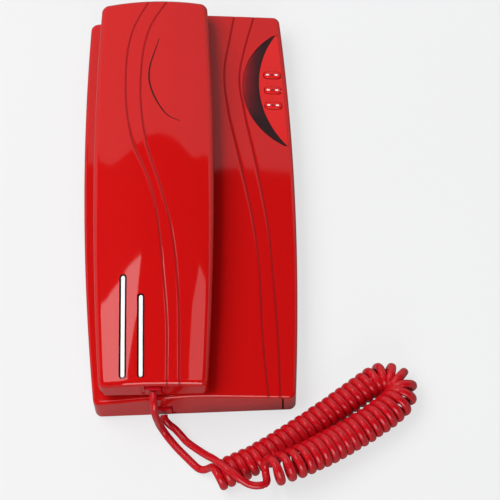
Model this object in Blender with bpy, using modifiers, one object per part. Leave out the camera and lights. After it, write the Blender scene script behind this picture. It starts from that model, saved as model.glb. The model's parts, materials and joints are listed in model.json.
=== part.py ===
"""Slimline corded telephone that hangs on a wall, lying on its back. Metres, +Z out of the back.

+X is the phone's right and +Y its top. The handset is built about its own centre line and
hangs from the handset_seat empty, which turns it a little in its cradle.
"""

from math import asin, atan2, cos, pi, radians, sin, sqrt

import bmesh
import bpy
from mathutils import Matrix, Vector

MM = 0.001
GAP = 0.3 * MM  # left between pieces that rest on each other
SLIDE_GAP = 0.35 * MM  # round a key or a plunger in its hole

# Base case
BASE_LENGTH = 200 * MM
BASE_WIDTH = 100 * MM
BASE_SIDE_BOW = 4 * MM  # each long side falls in by this at its ends
BASE_RIDGE = 22.5 * MM  # height of the top face's ridge
ROOF_SLOPE = 0.155  # the top face falls away from its ridge to both sides
ROOF_ROUND = 8 * MM  # half width of the rounded ridge
BASE_CORNER = 3 * MM
BASE_RIM = 1.6 * MM
BASE_WALL = 2.2 * MM
FOOT_STAND = 1.2 * MM
FOOT_RADIUS = 5 * MM
FOOT_INSET = (12 * MM, 14 * MM)  # from the widest side and from the end
BACK_THICK = 2 * MM
KEYHOLE_SPACING = 83 * MM
KEYHOLE_HEAD = 4.2 * MM
KEYHOLE_NECK = 2.3 * MM
KEYHOLE_DROP = 8 * MM
CASE_SCREW = 1.5 * MM  # radius
CASE_BOSS = 3.4 * MM
LEFT_BOSSES = (-43.4 * MM, 33 * MM)
TOP_BOSS = (19 * MM, 89 * MM)
FOOT_BOSS = (19 * MM, -89 * MM)

# Handset
HANDSET_LENGTH = 197 * MM
HANDSET_WIDTH = 56.2 * MM
HANDSET_TOP_WIDTH = 50.6 * MM
HANDSET_FOOT_WIDTH = 49.2 * MM
HANDSET_WIDEST = 12 * MM  # above the handset's middle
HANDSET_X = -15.9 * MM
HANDSET_LEAN = radians(-1.14)
HANDSET_RIM_Z = 23.3 * MM  # its lower edge, clear of the base's ridge
HANDSET_CREST = 39 * MM
CREST_Y = 10 * MM
TOP_FALL = 1.6 * MM  # how far the crest drops at each end
FOOT_FALL = 3 * MM
HANDSET_CROWN = 2.6 * MM  # drop from the centre line to the widest edge
TOP_BOW = 2 * MM
HANDSET_CORNER = 3 * MM
HANDSET_RIM = 2.6 * MM
HANDSET_WALL = 2 * MM
GRIP_Z = 26.3 * MM  # underside of the grip between the two ends
INNER_THICK = 2 * MM
LOBE_Y = 72 * MM
LOBE_SIZE = (40 * MM, 44 * MM)
LOBE_CORNER = 10 * MM
LOBE_WALL = 1.8 * MM
LOBE_Z = 14 * MM
SLOT_WIDTH = 3.4 * MM
SLOT_DEPTH = 1.3 * MM
BAR_WIDTH = 2 * MM
SLOTS = {"long": (-13.5 * MM, 50 * MM), "short": (-5.3 * MM, 40.2 * MM)}  # across, length
SLOT_FOOT = 3.2 * MM  # from the handset's lower end
HANDSET_SCREW_Y = 41 * MM
WEIGHT_SIZE = (38 * MM, 50 * MM, 4.5 * MM)
RECEIVER_RADIUS = 16 * MM
MICROPHONE_RADIUS = 4.9 * MM

# Cradle in the base
CRADLE_CLEARANCE = 2.3 * MM  # round the handset's two lobes
CRADLE_FLOOR = LOBE_Z - GAP
CRADLE_THICK = 2 * MM
DECK_Z = 17.8 * MM
DECK_SIZE = (45 * MM, 92 * MM)
KEY_PITCH = (13 * MM, 15 * MM)
KEY_SIZE = (9.6 * MM, 7.8 * MM)
KEY_STAND = 1.1 * MM
KEY_TRAVEL = 1.2 * MM
KEY_ROWS = (("1", "2", "3"), ("4", "5", "6"), ("7", "8", "9"), ("star", "0", "hash"))
FLANGE = 1 * MM  # a key's collar sticks out by this
FLANGE_THICK = 1.3 * MM
MAT_THICK = 1.2 * MM
BOARD_THICK = 1.6 * MM
HOOK_Y = 60 * MM
HOOK_SIZE = (8 * MM, 6 * MM)
HOOK_TRAVEL = 3 * MM

# Side panel with the crescent
CRESCENT_TIPS = ((44.4 * MM, 89 * MM), (48 * MM, 27.6 * MM))
CRESCENT_OUTER = (27.4 * MM, 62.8 * MM)
CRESCENT_INNER = (34.9 * MM, 60.6 * MM)
INSERT_THICK = 1.2 * MM
PANEL_INSET = 1.9 * MM  # from the base's side
SIDE_KEY_X = 41.6 * MM
SIDE_KEY_Y = 58 * MM
SIDE_KEY_PITCH = 8.3 * MM
SIDE_KEY_SIZE = (8 * MM, 3.4 * MM)
SIDE_KEY_STAND = 0.8 * MM
SIDE_KEY_TRAVEL = 1 * MM

# Cord
PLUG_SIZE = (7.6 * MM, 12 * MM, 6.4 * MM)
JACK_WALL = 1.6 * MM
HANDSET_JACK_Z = 29 * MM
BASE_JACK = (-14.4 * MM, 6.6 * MM)  # x, z
PLUG_STAND = 1.4 * MM
LEAD_RADIUS = 1.9 * MM
COIL_RADIUS = 6.7 * MM
HANDSET_LEAD_ROUTE = (
    (-17.9, -100.1, 29.0), (-17.9, -103.4, 28.6), (-17.8, -106.6, 26.0), (-17.4, -108.0, 21.0),
    (-16.9, -107.9, 14.5), (-16.3, -107.9, 8.4), (-14.9, -109.2, 4.4), (-12.6, -112.2, 2.6),
    (-9.0, -116.8, 2.1), (-4.2, -122.2, 2.1), (-0.2, -126.6, 2.2), (2.2, -129.0, 3.0),
    (4.7, -129.8, 4.4),
)
BASE_LEAD_ROUTE = (
    (-14.4, -102.3, 6.4), (-14.1, -104.2, 5.8), (-12.3, -106.1, 4.2), (-9.8, -108.0, 3.4),
    (-7.2, -111.0, 3.3), (-4.2, -114.8, 3.6), (0.5, -119.2, 5.4), (4.6, -123.5, 9.6),
    (8.2, -127.3, 14.3), (12.4, -131.6, 16.7), (16.5, -134.8, 16.8), (20.3, -137.9, 15.2),
    (24.4, -139.9, 12.8), (28.6, -141.0, 11.8),
)
COIL_ROUTE = (
    (8.0, -133.4, 6.9), (19.4, -128.9, 6.9), (30.0, -123.9, 6.9), (47.8, -113.4, 6.9),
    (65.6, -101.6, 6.9), (81.6, -90.8, 6.9), (88.4, -88.9, 6.9), (93.9, -92.4, 6.9),
    (93.8, -98.4, 7.5), (89.2, -104.0, 8.8), (78.8, -111.7, 9.8), (66.6, -118.8, 10.3),
    (54.4, -125.6, 12.2), (42.2, -131.4, 14.4), (31.2, -135.2, 16.4),
)

RED, DARK_RED = (0.60, 0.012, 0.012), (0.35, 0.01, 0.01)
WHITE, BLACK, GREY = (0.85, 0.85, 0.85), (0.02, 0.02, 0.022), (0.4, 0.4, 0.42)


# ---- scene, materials and small shapes -------------------------------------------------------

def start_scene():
    """An empty scene with one collection for the phone and one for what cuts it."""
    for obj in list(bpy.data.objects):
        bpy.data.objects.remove(obj, do_unlink=True)
    made = []
    for name in ("Slimline wall phone", "Cutters"):
        made.append(bpy.data.collections.new(name))
        bpy.context.scene.collection.children.link(made[-1])
    return made


PHONE, CUTTERS = start_scene()


def paint(obj, colour, roughness=0.4, metallic=0.0):
    """Gives the object its own Principled material."""
    material = bpy.data.materials.new(obj.name)
    material.use_nodes = True
    shader = material.node_tree.nodes["Principled BSDF"]
    shader.inputs["Base Color"].default_value = (*colour, 1)
    shader.inputs["Roughness"].default_value = roughness
    shader.inputs["Metallic"].default_value = metallic
    obj.data.materials.clear()
    obj.data.materials.append(material)
    return obj


def place(name, mesh, cutter=False, at=(0, 0, 0)):
    """A mesh as an object, in the phone's collection or among the cutters."""
    obj = bpy.data.objects.new(name, mesh)
    obj.location = at
    (CUTTERS if cutter else PHONE).objects.link(obj)
    if cutter:
        obj.hide_render = True
        obj.display_type = "WIRE"
    return obj


def from_bmesh(name, shape, cutter=False, at=(0, 0, 0)):
    """Finishes a bmesh as a closed body with its faces outwards, smooth except at sharp edges."""
    bmesh.ops.recalc_face_normals(shape, faces=shape.faces)
    mesh = bpy.data.meshes.new(name)
    shape.to_mesh(mesh)
    shape.free()
    mesh.shade_smooth()
    mesh.set_sharp_from_angle(angle=radians(35))
    return place(name, mesh, cutter, at)


def box(name, low, high, cutter=False):
    """A box between two corners, with its origin at its middle."""
    size = [b - a for a, b in zip(low, high)]
    middle = [(a + b) / 2 for a, b in zip(low, high)]
    shape = bmesh.new()
    bmesh.ops.create_cube(shape, size=1)
    bmesh.ops.scale(shape, vec=size, verts=shape.verts)
    return from_bmesh(name, shape, cutter, middle)


def rod(name, x, y, low, high, radius, cutter=False, sides=24, top_radius=None):
    """An upright cylinder or cone between two heights."""
    shape = bmesh.new()
    bmesh.ops.create_cone(
        shape, cap_ends=True, segments=sides, radius1=radius,
        radius2=radius if top_radius is None else top_radius, depth=high - low,
    )
    return from_bmesh(name, shape, cutter, (x, y, (low + high) / 2))


def prism(name, outline, low, high, cutter=False):
    """A flat outline of (x, y) points, extruded between two heights."""
    curve = bpy.data.curves.new(name, "CURVE")
    curve.dimensions = "2D"
    curve.fill_mode = "BOTH"
    curve.extrude = (high - low) / 2
    spline = curve.splines.new("POLY")
    spline.points.add(len(outline) - 1)
    for point, (x, y) in zip(spline.points, outline):
        point.co = (x, y, 0, 1)
    spline.use_cyclic_u = True
    return curve_to_mesh(name, curve, (0, 0, (low + high) / 2), cutter)


def curve_to_mesh(name, curve, at, cutter):
    """The curve's evaluated shape as a welded mesh object."""
    guide = bpy.data.objects.new(name + "_curve", curve)
    guide.location = at
    CUTTERS.objects.link(guide)
    bpy.context.view_layer.update()
    graph = bpy.context.evaluated_depsgraph_get()
    mesh = bpy.data.meshes.new_from_object(guide.evaluated_get(graph))
    bpy.data.objects.remove(guide, do_unlink=True)
    bpy.data.curves.remove(curve)
    shape = bmesh.new()
    shape.from_mesh(mesh)
    bpy.data.meshes.remove(mesh)
    bmesh.ops.remove_doubles(shape, verts=shape.verts, dist=0.00002)
    return from_bmesh(name, shape, cutter, at)


def combine(target, tool, operation="DIFFERENCE"):
    """Cuts the tool from the target, or joins or intersects the two."""
    step = target.modifiers.new(tool.name, "BOOLEAN")
    step.operation = operation
    step.solver = "EXACT"
    step.object = tool
    return target


def soften(obj, width=0.4 * MM, segments=2):
    """Rounds the edges of a piece that nothing cuts."""
    bevel = obj.modifiers.new("Rounded edges", "BEVEL")
    bevel.width = width
    bevel.segments = segments
    bevel.limit_method = "ANGLE"
    bevel.angle_limit = radians(40)
    return obj


def rounded_rectangle(x, y, width, height, corner, steps=4):
    """The outline of a rectangle with round corners, counter-clockwise."""
    points = []
    for turn, (side_x, side_y) in enumerate(((1, 1), (-1, 1), (-1, -1), (1, -1))):
        for step in range(steps + 1):
            angle = pi / 2 * (turn + step / steps)
            points.append((
                x + side_x * (width / 2 - corner) + corner * cos(angle),
                y + side_y * (height / 2 - corner) + corner * sin(angle),
            ))
    return points


def arc_through(start, middle, end, steps):
    """Points on the circle through three points, from the first to the last."""
    (ax, ay), (bx, by), (cx, cy) = start, middle, end
    twice = 2 * (ax * (by - cy) + bx * (cy - ay) + cx * (ay - by))
    a2, b2, c2 = ax * ax + ay * ay, bx * bx + by * by, cx * cx + cy * cy
    x = (a2 * (by - cy) + b2 * (cy - ay) + c2 * (ay - by)) / twice
    y = (a2 * (cx - bx) + b2 * (ax - cx) + c2 * (bx - ax)) / twice
    radius = sqrt((ax - x) ** 2 + (ay - y) ** 2)
    first, last = (atan2(py - y, px - x) % (2 * pi) for px, py in (start, end))
    return [
        (x + radius * cos(first + (last - first) * i / steps),
         y + radius * sin(first + (last - first) * i / steps))
        for i in range(steps + 1)
    ]


# ---- the two curved case forms ---------------------------------------------------------------

def loft(name, half_width, top, low, ends, corner, rim, columns, rows, bend=None, cutter=True):
    """A closed block carried along Y: upright sides, a round rim and corners, and a curved top.

    half_width(y) is the plan's half width and top(x, y) the height of the top face. Within
    `corner` of an end the plan follows a quarter circle, and within `rim` of it the top does.
    """
    start, end = ends
    near = [0.0, 0.25 * rim, 0.6 * rim, rim]
    near += [rim + (corner - rim) * k for k in (0.5, 1.0)] if corner > rim else []
    inner = [start + near[-1] + (end - start - 2 * near[-1]) * i / rows for i in range(1, rows)]
    stations = [start + d for d in near] + inner + [end - d for d in reversed(near)]
    shape = bmesh.new()
    sections = []
    for y in stations:
        depth = min(y - start, end - y)
        narrow = corner - sqrt(max(corner**2 - (corner - min(depth, corner)) ** 2, 0))
        sunk = rim - sqrt(max(rim**2 - (rim - min(depth, rim)) ** 2, 0))
        half = half_width(y) - narrow
        reach = half - rim
        across = [-reach + 2 * reach * i / columns for i in range(columns + 1)]
        points = [(-half, low)]
        for step in range(3):
            angle = pi / 6 * step
            points.append((-reach - rim * cos(angle), -rim + rim * sin(angle)))
        points += [(x, 0) for x in across]
        points += [(-x, z) for x, z in reversed(points[1:4])] + [(half, low)]
        ring = []
        for index, (x, z) in enumerate(points):
            if 0 < index < len(points) - 1:
                z += top(max(-reach, min(reach, x)), y) - sunk
            place_y = bend(x, y) if bend else y
            ring.append(shape.verts.new((x, place_y, z)))
        sections.append(ring)
    for a, b in zip(sections, sections[1:]):
        for i in range(len(a)):
            j = (i + 1) % len(a)
            shape.faces.new((a[i], a[j], b[j], b[i]))
    for cap in (sections[0], sections[-1]):
        for left in range(len(cap) // 2 - 1):
            right = len(cap) - 1 - left
            shape.faces.new((cap[left], cap[left + 1], cap[right - 1], cap[right]))
        if len(cap) % 2:
            middle = len(cap) // 2
            shape.faces.new((cap[middle - 1], cap[middle], cap[middle + 1]))
    return from_bmesh(name, shape, cutter)


def base_half_width(y):
    """The long sides bow out to the middle of the length."""
    return BASE_WIDTH / 2 - BASE_SIDE_BOW * (2 * y / BASE_LENGTH) ** 2


def roof(x, y=0.0):
    """The base's top face: two slopes that meet in a rounded ridge."""
    return BASE_RIDGE - ROOF_SLOPE * (sqrt(x * x + ROOF_ROUND**2) - ROOF_ROUND)


def base_form(name, inset=0.0, low=FOOT_STAND, lower=0.0, corner=BASE_CORNER, rim=BASE_RIM):
    """The base's outer form, or one inset from it by a wall."""
    end = BASE_LENGTH / 2 - inset
    return loft(
        name, lambda y: base_half_width(y) - inset, lambda x, y: roof(x) - lower, low,
        (-end, end), corner, rim, columns=12, rows=8,
    )


def handset_half_width(y):
    """Widest a little above the middle, and narrower to both ends."""
    if y > HANDSET_WIDEST:
        share = (y - HANDSET_WIDEST) / (HANDSET_LENGTH / 2 - HANDSET_WIDEST)
        return (HANDSET_WIDTH - (HANDSET_WIDTH - HANDSET_TOP_WIDTH) * share**2) / 2
    share = (HANDSET_WIDEST - y) / (HANDSET_LENGTH / 2 + HANDSET_WIDEST)
    return (HANDSET_WIDTH - (HANDSET_WIDTH - HANDSET_FOOT_WIDTH) * share**2) / 2


def handset_top(x, y):
    """The handset's outer face: a long arch that drops faster to the lower end, crowned across."""
    if y > CREST_Y:
        crest = HANDSET_CREST - TOP_FALL * ((y - CREST_Y) / (HANDSET_LENGTH / 2 - CREST_Y)) ** 2
    else:
        share = (CREST_Y - y) / (HANDSET_LENGTH / 2 + CREST_Y)
        crest = HANDSET_CREST - FOOT_FALL * share**3
    return crest - HANDSET_CROWN * (2 * x / HANDSET_WIDTH) ** 2


def bow_top(x, y):
    """The top end's outline bows out to its middle."""
    if y <= 0:
        return y
    drop = TOP_BOW * (2 * x / HANDSET_TOP_WIDTH) ** 2
    return y - drop * (2 * y / HANDSET_LENGTH) ** 2


def handset_form(name, inset=0.0, low=HANDSET_RIM_Z, lower=0.0, corner=HANDSET_CORNER,
                 rim=HANDSET_RIM, columns=10, rows=14):
    """The handset's outer form, or one inset from it by a wall."""
    end = HANDSET_LENGTH / 2 - inset
    return loft(
        name, lambda y: handset_half_width(y) - inset, lambda x, y: handset_top(x, y) - lower,
        low, (-end, end), corner, rim, columns, rows, bow_top,
    )


def plan_outline(half_width, start, end, corner, rows=10):
    """The flat outline of a piece that fits inside one of the case forms, with round corners."""
    near = [corner * k for k in (0.0, 0.1, 0.35, 0.7, 1.0)]
    span = end - start - 2 * corner
    stations = [start + d for d in near]
    stations += [start + corner + span * i / rows for i in range(1, rows)]
    stations += [end - d for d in reversed(near)]
    points = []
    for y in stations:
        depth = min(y - start, end - y, corner)
        narrow = corner - sqrt(max(corner**2 - (corner - depth) ** 2, 0))
        points.append((half_width(y) - narrow, y))
    return points + [(-x, y) for x, y in reversed(points)]


def skin_piece(name, outline, form, stand, thick, top_z=0.06):
    """A piece of a curved face: the outline's prism, from `thick` under the face to `stand` over it."""
    piece = prism(name, outline, 0.004, top_z)
    for suffix, height, operation in (("_over", stand, "INTERSECT"), ("_under", -thick, "DIFFERENCE")):
        copy = form.copy()
        copy.name = name + suffix
        copy.location.z += height
        CUTTERS.objects.link(copy)
        combine(piece, copy, operation)
    return piece


def skin_pocket(name, outline, form, depth):
    """A cutter for a pocket of even depth under a curved face."""
    pocket = prism(name, outline, 0.004, 0.06, cutter=True)
    copy = form.copy()
    copy.name = name + "_floor"
    copy.location.z -= depth
    CUTTERS.objects.link(copy)
    return combine(pocket, copy)


# ---- base ------------------------------------------------------------------------------------

def lobe_centre(side):
    """Where a handset lobe sits in the base: side 1 is the ear end, -1 the mouth end."""
    return (HANDSET_X - side * LOBE_Y * sin(HANDSET_LEAN), side * LOBE_Y * cos(HANDSET_LEAN))


def boss_places():
    x, y = LEFT_BOSSES
    return ((x, y), (x, -y), TOP_BOSS, FOOT_BOSS)


def keys():
    """Each digit key's name and centre on the deck."""
    for row, labels in enumerate(KEY_ROWS):
        for column, label in enumerate(labels):
            yield label, HANDSET_X + (column - 1) * KEY_PITCH[0], (1.5 - row) * KEY_PITCH[1]


def side_keys():
    for index in range(3):
        yield f"function_key_{index + 1}", SIDE_KEY_X, SIDE_KEY_Y + (1 - index) * SIDE_KEY_PITCH


def pill(x, y, size, grow=0.0):
    width, height = size[0] + 2 * grow, size[1] + 2 * grow
    return rounded_rectangle(x, y, width, height, height * 0.45, steps=3)


def key_outline(x, y, grow=0.0):
    return rounded_rectangle(x, y, KEY_SIZE[0] + 2 * grow, KEY_SIZE[1] + 2 * grow, 1.8 * MM, 3)


def base_cavity():
    """The hollow of the top cover: its tubs and bosses are left standing in it."""
    cavity = base_form("cavity", BASE_WALL, low=-0.005, lower=BASE_WALL, corner=2 * MM, rim=1 * MM)
    for side, name in ((1, "ear"), (-1, "mouth")):
        x, y = lobe_centre(side)
        half = [s / 2 + CRADLE_CLEARANCE + CRADLE_THICK for s in LOBE_SIZE]
        outline = rounded_rectangle(x, y, 2 * half[0], 2 * half[1], LOBE_CORNER)
        combine(cavity, prism(name + "_tub", outline, CRADLE_FLOOR - CRADLE_THICK, 0.05, True))
    deck = [s / 2 + CRADLE_THICK for s in DECK_SIZE]
    low = (HANDSET_X - deck[0], -deck[1], DECK_Z - CRADLE_THICK)
    combine(cavity, box("deck_tub", low, (HANDSET_X + deck[0], deck[1], 0.05), True))
    for index, (x, y) in enumerate(boss_places()):
        boss = rod(f"case_boss_{index}", x, y, FOOT_STAND + BACK_THICK + GAP, 0.05, CASE_BOSS, True)
        combine(cavity, boss)
    return cavity


def insert_outlines():
    """The crescent, the key panel and the one pocket for both, each between two long curves."""
    (top_x, top_y), (foot_x, foot_y) = CRESCENT_TIPS
    steps = 14
    outer = arc_through(CRESCENT_TIPS[0], CRESCENT_OUTER, CRESCENT_TIPS[1], steps)
    inner = arc_through(CRESCENT_TIPS[0], CRESCENT_INNER, CRESCENT_TIPS[1], steps)
    crescent = outer[1:-1] + inner[-2:0:-1]
    beside = (CRESCENT_INNER[0] + 2 * GAP, CRESCENT_INNER[1])
    panel = arc_through(CRESCENT_TIPS[0], beside, CRESCENT_TIPS[1], steps)[2:-2]
    past = 4 * GAP
    around = arc_through((top_x, top_y + past), (CRESCENT_OUTER[0] - GAP, CRESCENT_OUTER[1]),
                         (foot_x, foot_y - past), steps)[1:-1]
    outlines = [crescent]
    for curve, inset in ((panel, PANEL_INSET), (around, PANEL_INSET - GAP)):
        first, last = curve[0][1], curve[-1][1]
        side = [last + (first - last) * i / steps for i in range(1, steps)]
        outlines.append(curve + [(base_half_width(y) - inset, y) for y in side])
    return outlines


def make_top_cover(form):
    cover = base_form("base_top_cover")
    CUTTERS.objects.unlink(cover)
    PHONE.objects.link(cover)
    cover.hide_render = False
    cover.display_type = "TEXTURED"
    combine(cover, base_cavity())
    for side, name in ((1, "ear"), (-1, "mouth")):
        x, y = lobe_centre(side)
        width, height = (s + 2 * CRADLE_CLEARANCE for s in LOBE_SIZE)
        outline = rounded_rectangle(x, y, width, height, LOBE_CORNER + CRADLE_CLEARANCE / 2)
        combine(cover, prism(name + "_recess", outline, CRADLE_FLOOR, 0.05, True))
    half = [s / 2 for s in DECK_SIZE]
    low, high = (HANDSET_X - half[0], -half[1], DECK_Z), (HANDSET_X + half[0], half[1], 0.05)
    combine(cover, box("deck_recess", low, high, True))
    for label, x, y in keys():
        outline = key_outline(x, y, SLIDE_GAP)
        combine(cover, prism(f"key_hole_{label}", outline, 0.012, 0.024, True))
    hook_x = lobe_centre(1)[0]
    hook = [s / 2 + SLIDE_GAP for s in HOOK_SIZE]
    combine(cover, box("hook_hole", (hook_x - hook[0], HOOK_Y - hook[1], 0.008),
                       (hook_x + hook[0], HOOK_Y + hook[1], 0.02), True))
    pocket = insert_outlines()[2]
    combine(cover, skin_pocket("insert_pocket", pocket, form, INSERT_THICK + GAP))
    for name, x, y in side_keys():
        outline = pill(x, y, SIDE_KEY_SIZE, SLIDE_GAP)
        combine(cover, prism(name + "_hole", outline, 0.01, 0.03, True))
    light = rounded_rectangle(CRESCENT_OUTER[0] + 3.6 * MM, CRESCENT_OUTER[1], 3.4 * MM, 16 * MM, 1.6 * MM)
    combine(cover, prism("light_window", light, 0.01, 0.03, True))
    jack_x, jack_z = BASE_JACK
    grow = JACK_WALL + GAP
    half_x, half_z = PLUG_SIZE[0] / 2 + grow, PLUG_SIZE[2] / 2 + grow
    combine(cover, box("cord_opening", (jack_x - half_x, -0.12, jack_z - half_z),
                       (jack_x + half_x, -0.0965, jack_z + half_z), True))
    for index, (x, y) in enumerate(boss_places()):
        pilot = rod(f"case_pilot_{index}", x, y, -0.002, 0.013, CASE_SCREW + GAP, True, 16)
        combine(cover, pilot)
    paint(cover, RED, 0.12)


def foot_places():
    x = BASE_WIDTH / 2 - FOOT_INSET[0]
    y = BASE_LENGTH / 2 - FOOT_INSET[1]
    return ((-x, y), (x, y), (-x, -y), (x, -y))


def make_back_cover():
    inset = BASE_WALL + GAP
    top = FOOT_STAND + BACK_THICK
    end = BASE_LENGTH / 2 - inset
    outline = plan_outline(lambda y: base_half_width(y) - inset, -end, end, 2.4 * MM)
    cover = prism("base_back_cover", outline, FOOT_STAND, top)
    for index, (x, y) in enumerate(board_posts()):
        post = rod(f"post_{index}", x, y, FOOT_STAND + 0.5 * MM, board_z() - GAP, 2 * MM, True, 12)
        combine(cover, post, "UNION")
    for index, (x, y) in enumerate(boss_places()):
        hole = rod(f"screw_hole_{index}", x, y, -0.002, 0.006, CASE_SCREW + GAP, True, 16)
        combine(cover, hole)
        sink = rod(f"screw_sink_{index}", x, y, -0.002, FOOT_STAND + 1.2 * MM, 2 * CASE_SCREW + GAP, True, 16)
        combine(cover, sink)
    for side in (1, -1):
        y = side * KEYHOLE_SPACING / 2
        combine(cover, rod(f"keyhole_{side}", 0, y, -0.002, 0.006, KEYHOLE_HEAD, True, 20))
        low = (-KEYHOLE_NECK, y, -0.002)
        combine(cover, box(f"neck_{side}", low, (KEYHOLE_NECK, y + KEYHOLE_DROP, 0.006), True))
    low, high = line_jack_box(GAP)
    combine(cover, box("line_opening", (low[0], low[1], -0.002), (high[0], high[1], 0.006), True))
    jack_x = BASE_JACK[0]
    half = PLUG_SIZE[0] / 2 + JACK_WALL + GAP
    combine(cover, box("cord_notch", (jack_x - half, -0.12, -0.002),
                       (jack_x + half, jack_ends()[1] + GAP, 0.006), True))
    for index, (x, y) in enumerate(foot_places()):
        hole = rod(f"foot_hole_{index}", x, y, -0.002, 0.006, FOOT_RADIUS * 0.5 + GAP, True, 16)
        combine(cover, hole)
    paint(cover, RED, 0.3)


def make_feet():
    """Rubber buttons whose stems push through the back cover."""
    for index, (x, y) in enumerate(foot_places()):
        foot = rod(f"foot_{index + 1}", x, y, 0, FOOT_STAND - GAP / 2, FOOT_RADIUS)
        stem = rod(f"foot_stem_{index}", x, y, 0.5 * MM, FOOT_STAND + BACK_THICK + 1 * MM,
                   FOOT_RADIUS * 0.5, True, 16)
        paint(combine(foot, stem, "UNION"), BLACK, 0.8)


def make_case_screws():
    for index, (x, y) in enumerate(boss_places()):
        head = rod(f"case_screw_{index + 1}", x, y, FOOT_STAND + 0.1 * MM, FOOT_STAND + 1.0 * MM,
                   2 * CASE_SCREW, sides=16)
        shank = rod(f"case_shank_{index}", x, y, FOOT_STAND + 0.6 * MM, 11 * MM, CASE_SCREW, True, 12)
        paint(combine(head, shank, "UNION"), GREY, 0.3, 1.0)


def flange_low():
    """The underside of a digit key's collar."""
    return DECK_Z - CRADLE_THICK - GAP - FLANGE_THICK


def mat_z():
    return flange_low() - KEY_TRAVEL - GAP - MAT_THICK


def board_z():
    return mat_z() - GAP - BOARD_THICK


def board_posts():
    x, y = DECK_SIZE[0] / 2 - 3 * MM, DECK_SIZE[1] / 2 - 7 * MM
    return [(HANDSET_X + a * x, b * y) for a in (-1, 1) for b in (-1, 1)]


def make_keypad():
    """Twelve keys in the deck under the handset, their rubber mat and the board."""
    for label, x, y in keys():
        cap = prism(f"digit_key_{label}", key_outline(x, y), flange_low() + 0.2 * MM, DECK_Z + KEY_STAND)
        collar = prism(f"collar_{label}", key_outline(x, y, FLANGE), flange_low(),
                       flange_low() + FLANGE_THICK, True)
        paint(combine(cap, collar, "UNION"), WHITE, 0.4)
    half = [s / 2 - 1 * MM for s in DECK_SIZE]
    low, top = mat_z(), mat_z() + MAT_THICK
    mat = box("keypad_mat", (HANDSET_X - half[0] + 2 * MM, -34 * MM, low), (HANDSET_X + half[0] - 2 * MM, 34 * MM, top))
    paint(mat, GREY, 0.7)
    low = board_z()
    board = box("main_board", (HANDSET_X - half[0], -half[1] + 2 * MM, low),
                (HANDSET_X + half[0], half[1] - 2 * MM, low + BOARD_THICK))
    paint(board, (0.03, 0.2, 0.08), 0.5)


def make_hook():
    """The plunger that the handset presses, with its spring and switch."""
    x = lobe_centre(1)[0]
    half_x, half_y = (s / 2 for s in HOOK_SIZE)
    top = CRADLE_FLOOR - 0.1 * MM
    collar_top = CRADLE_FLOOR - CRADLE_THICK - HOOK_TRAVEL - GAP
    collar_low = collar_top - 1.4 * MM
    plunger = box("hook_plunger", (x - half_x, HOOK_Y - half_y, collar_low + 0.2 * MM),
                  (x + half_x, HOOK_Y + half_y, top))
    collar = box("hook_collar", (x - half_x - 1.5 * MM, HOOK_Y - half_y - 1.5 * MM, collar_low),
                 (x + half_x + 1.5 * MM, HOOK_Y + half_y + 1.5 * MM, collar_top), True)
    paint(combine(plunger, collar, "UNION"), WHITE, 0.4)
    floor = FOOT_STAND + BACK_THICK
    make_spring("hook_spring", x, HOOK_Y, floor + GAP, collar_low - GAP)
    low = (x + half_x + 3 * MM, HOOK_Y - 4 * MM, floor + GAP)
    switch = box("hook_switch", low, (low[0] + 6 * MM, HOOK_Y + 4 * MM, collar_top + 0.5 * MM))
    paint(soften(switch), BLACK, 0.5)


def make_spring(name, x, y, low, high, radius=3 * MM, wire=0.3 * MM, turns=3):
    """A compression spring wound as a wire round an upright axis."""
    steps = 12 * turns
    rise = high - low - 2 * wire
    points = [
        (radius * cos(2 * pi * i / 12), radius * sin(2 * pi * i / 12), low + wire + rise * i / steps)
        for i in range(steps + 1)
    ]
    tube(name, [(x + a, y + b, c) for a, b, c in points], wire)
    paint(bpy.data.objects[name], GREY, 0.3, 1.0)


def tube(name, points, radius, resolution=2):
    """A round wire along a list of points, as a curve with filled caps."""
    curve = bpy.data.curves.new(name, "CURVE")
    curve.dimensions = "3D"
    curve.bevel_depth = radius
    curve.bevel_resolution = resolution
    curve.use_fill_caps = True
    spline = curve.splines.new("POLY")
    spline.points.add(len(points) - 1)
    for point, place_at in zip(spline.points, points):
        point.co = (*place_at, 1)
    return curve_to_mesh(name, curve, (0, 0, 0), False)


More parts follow.
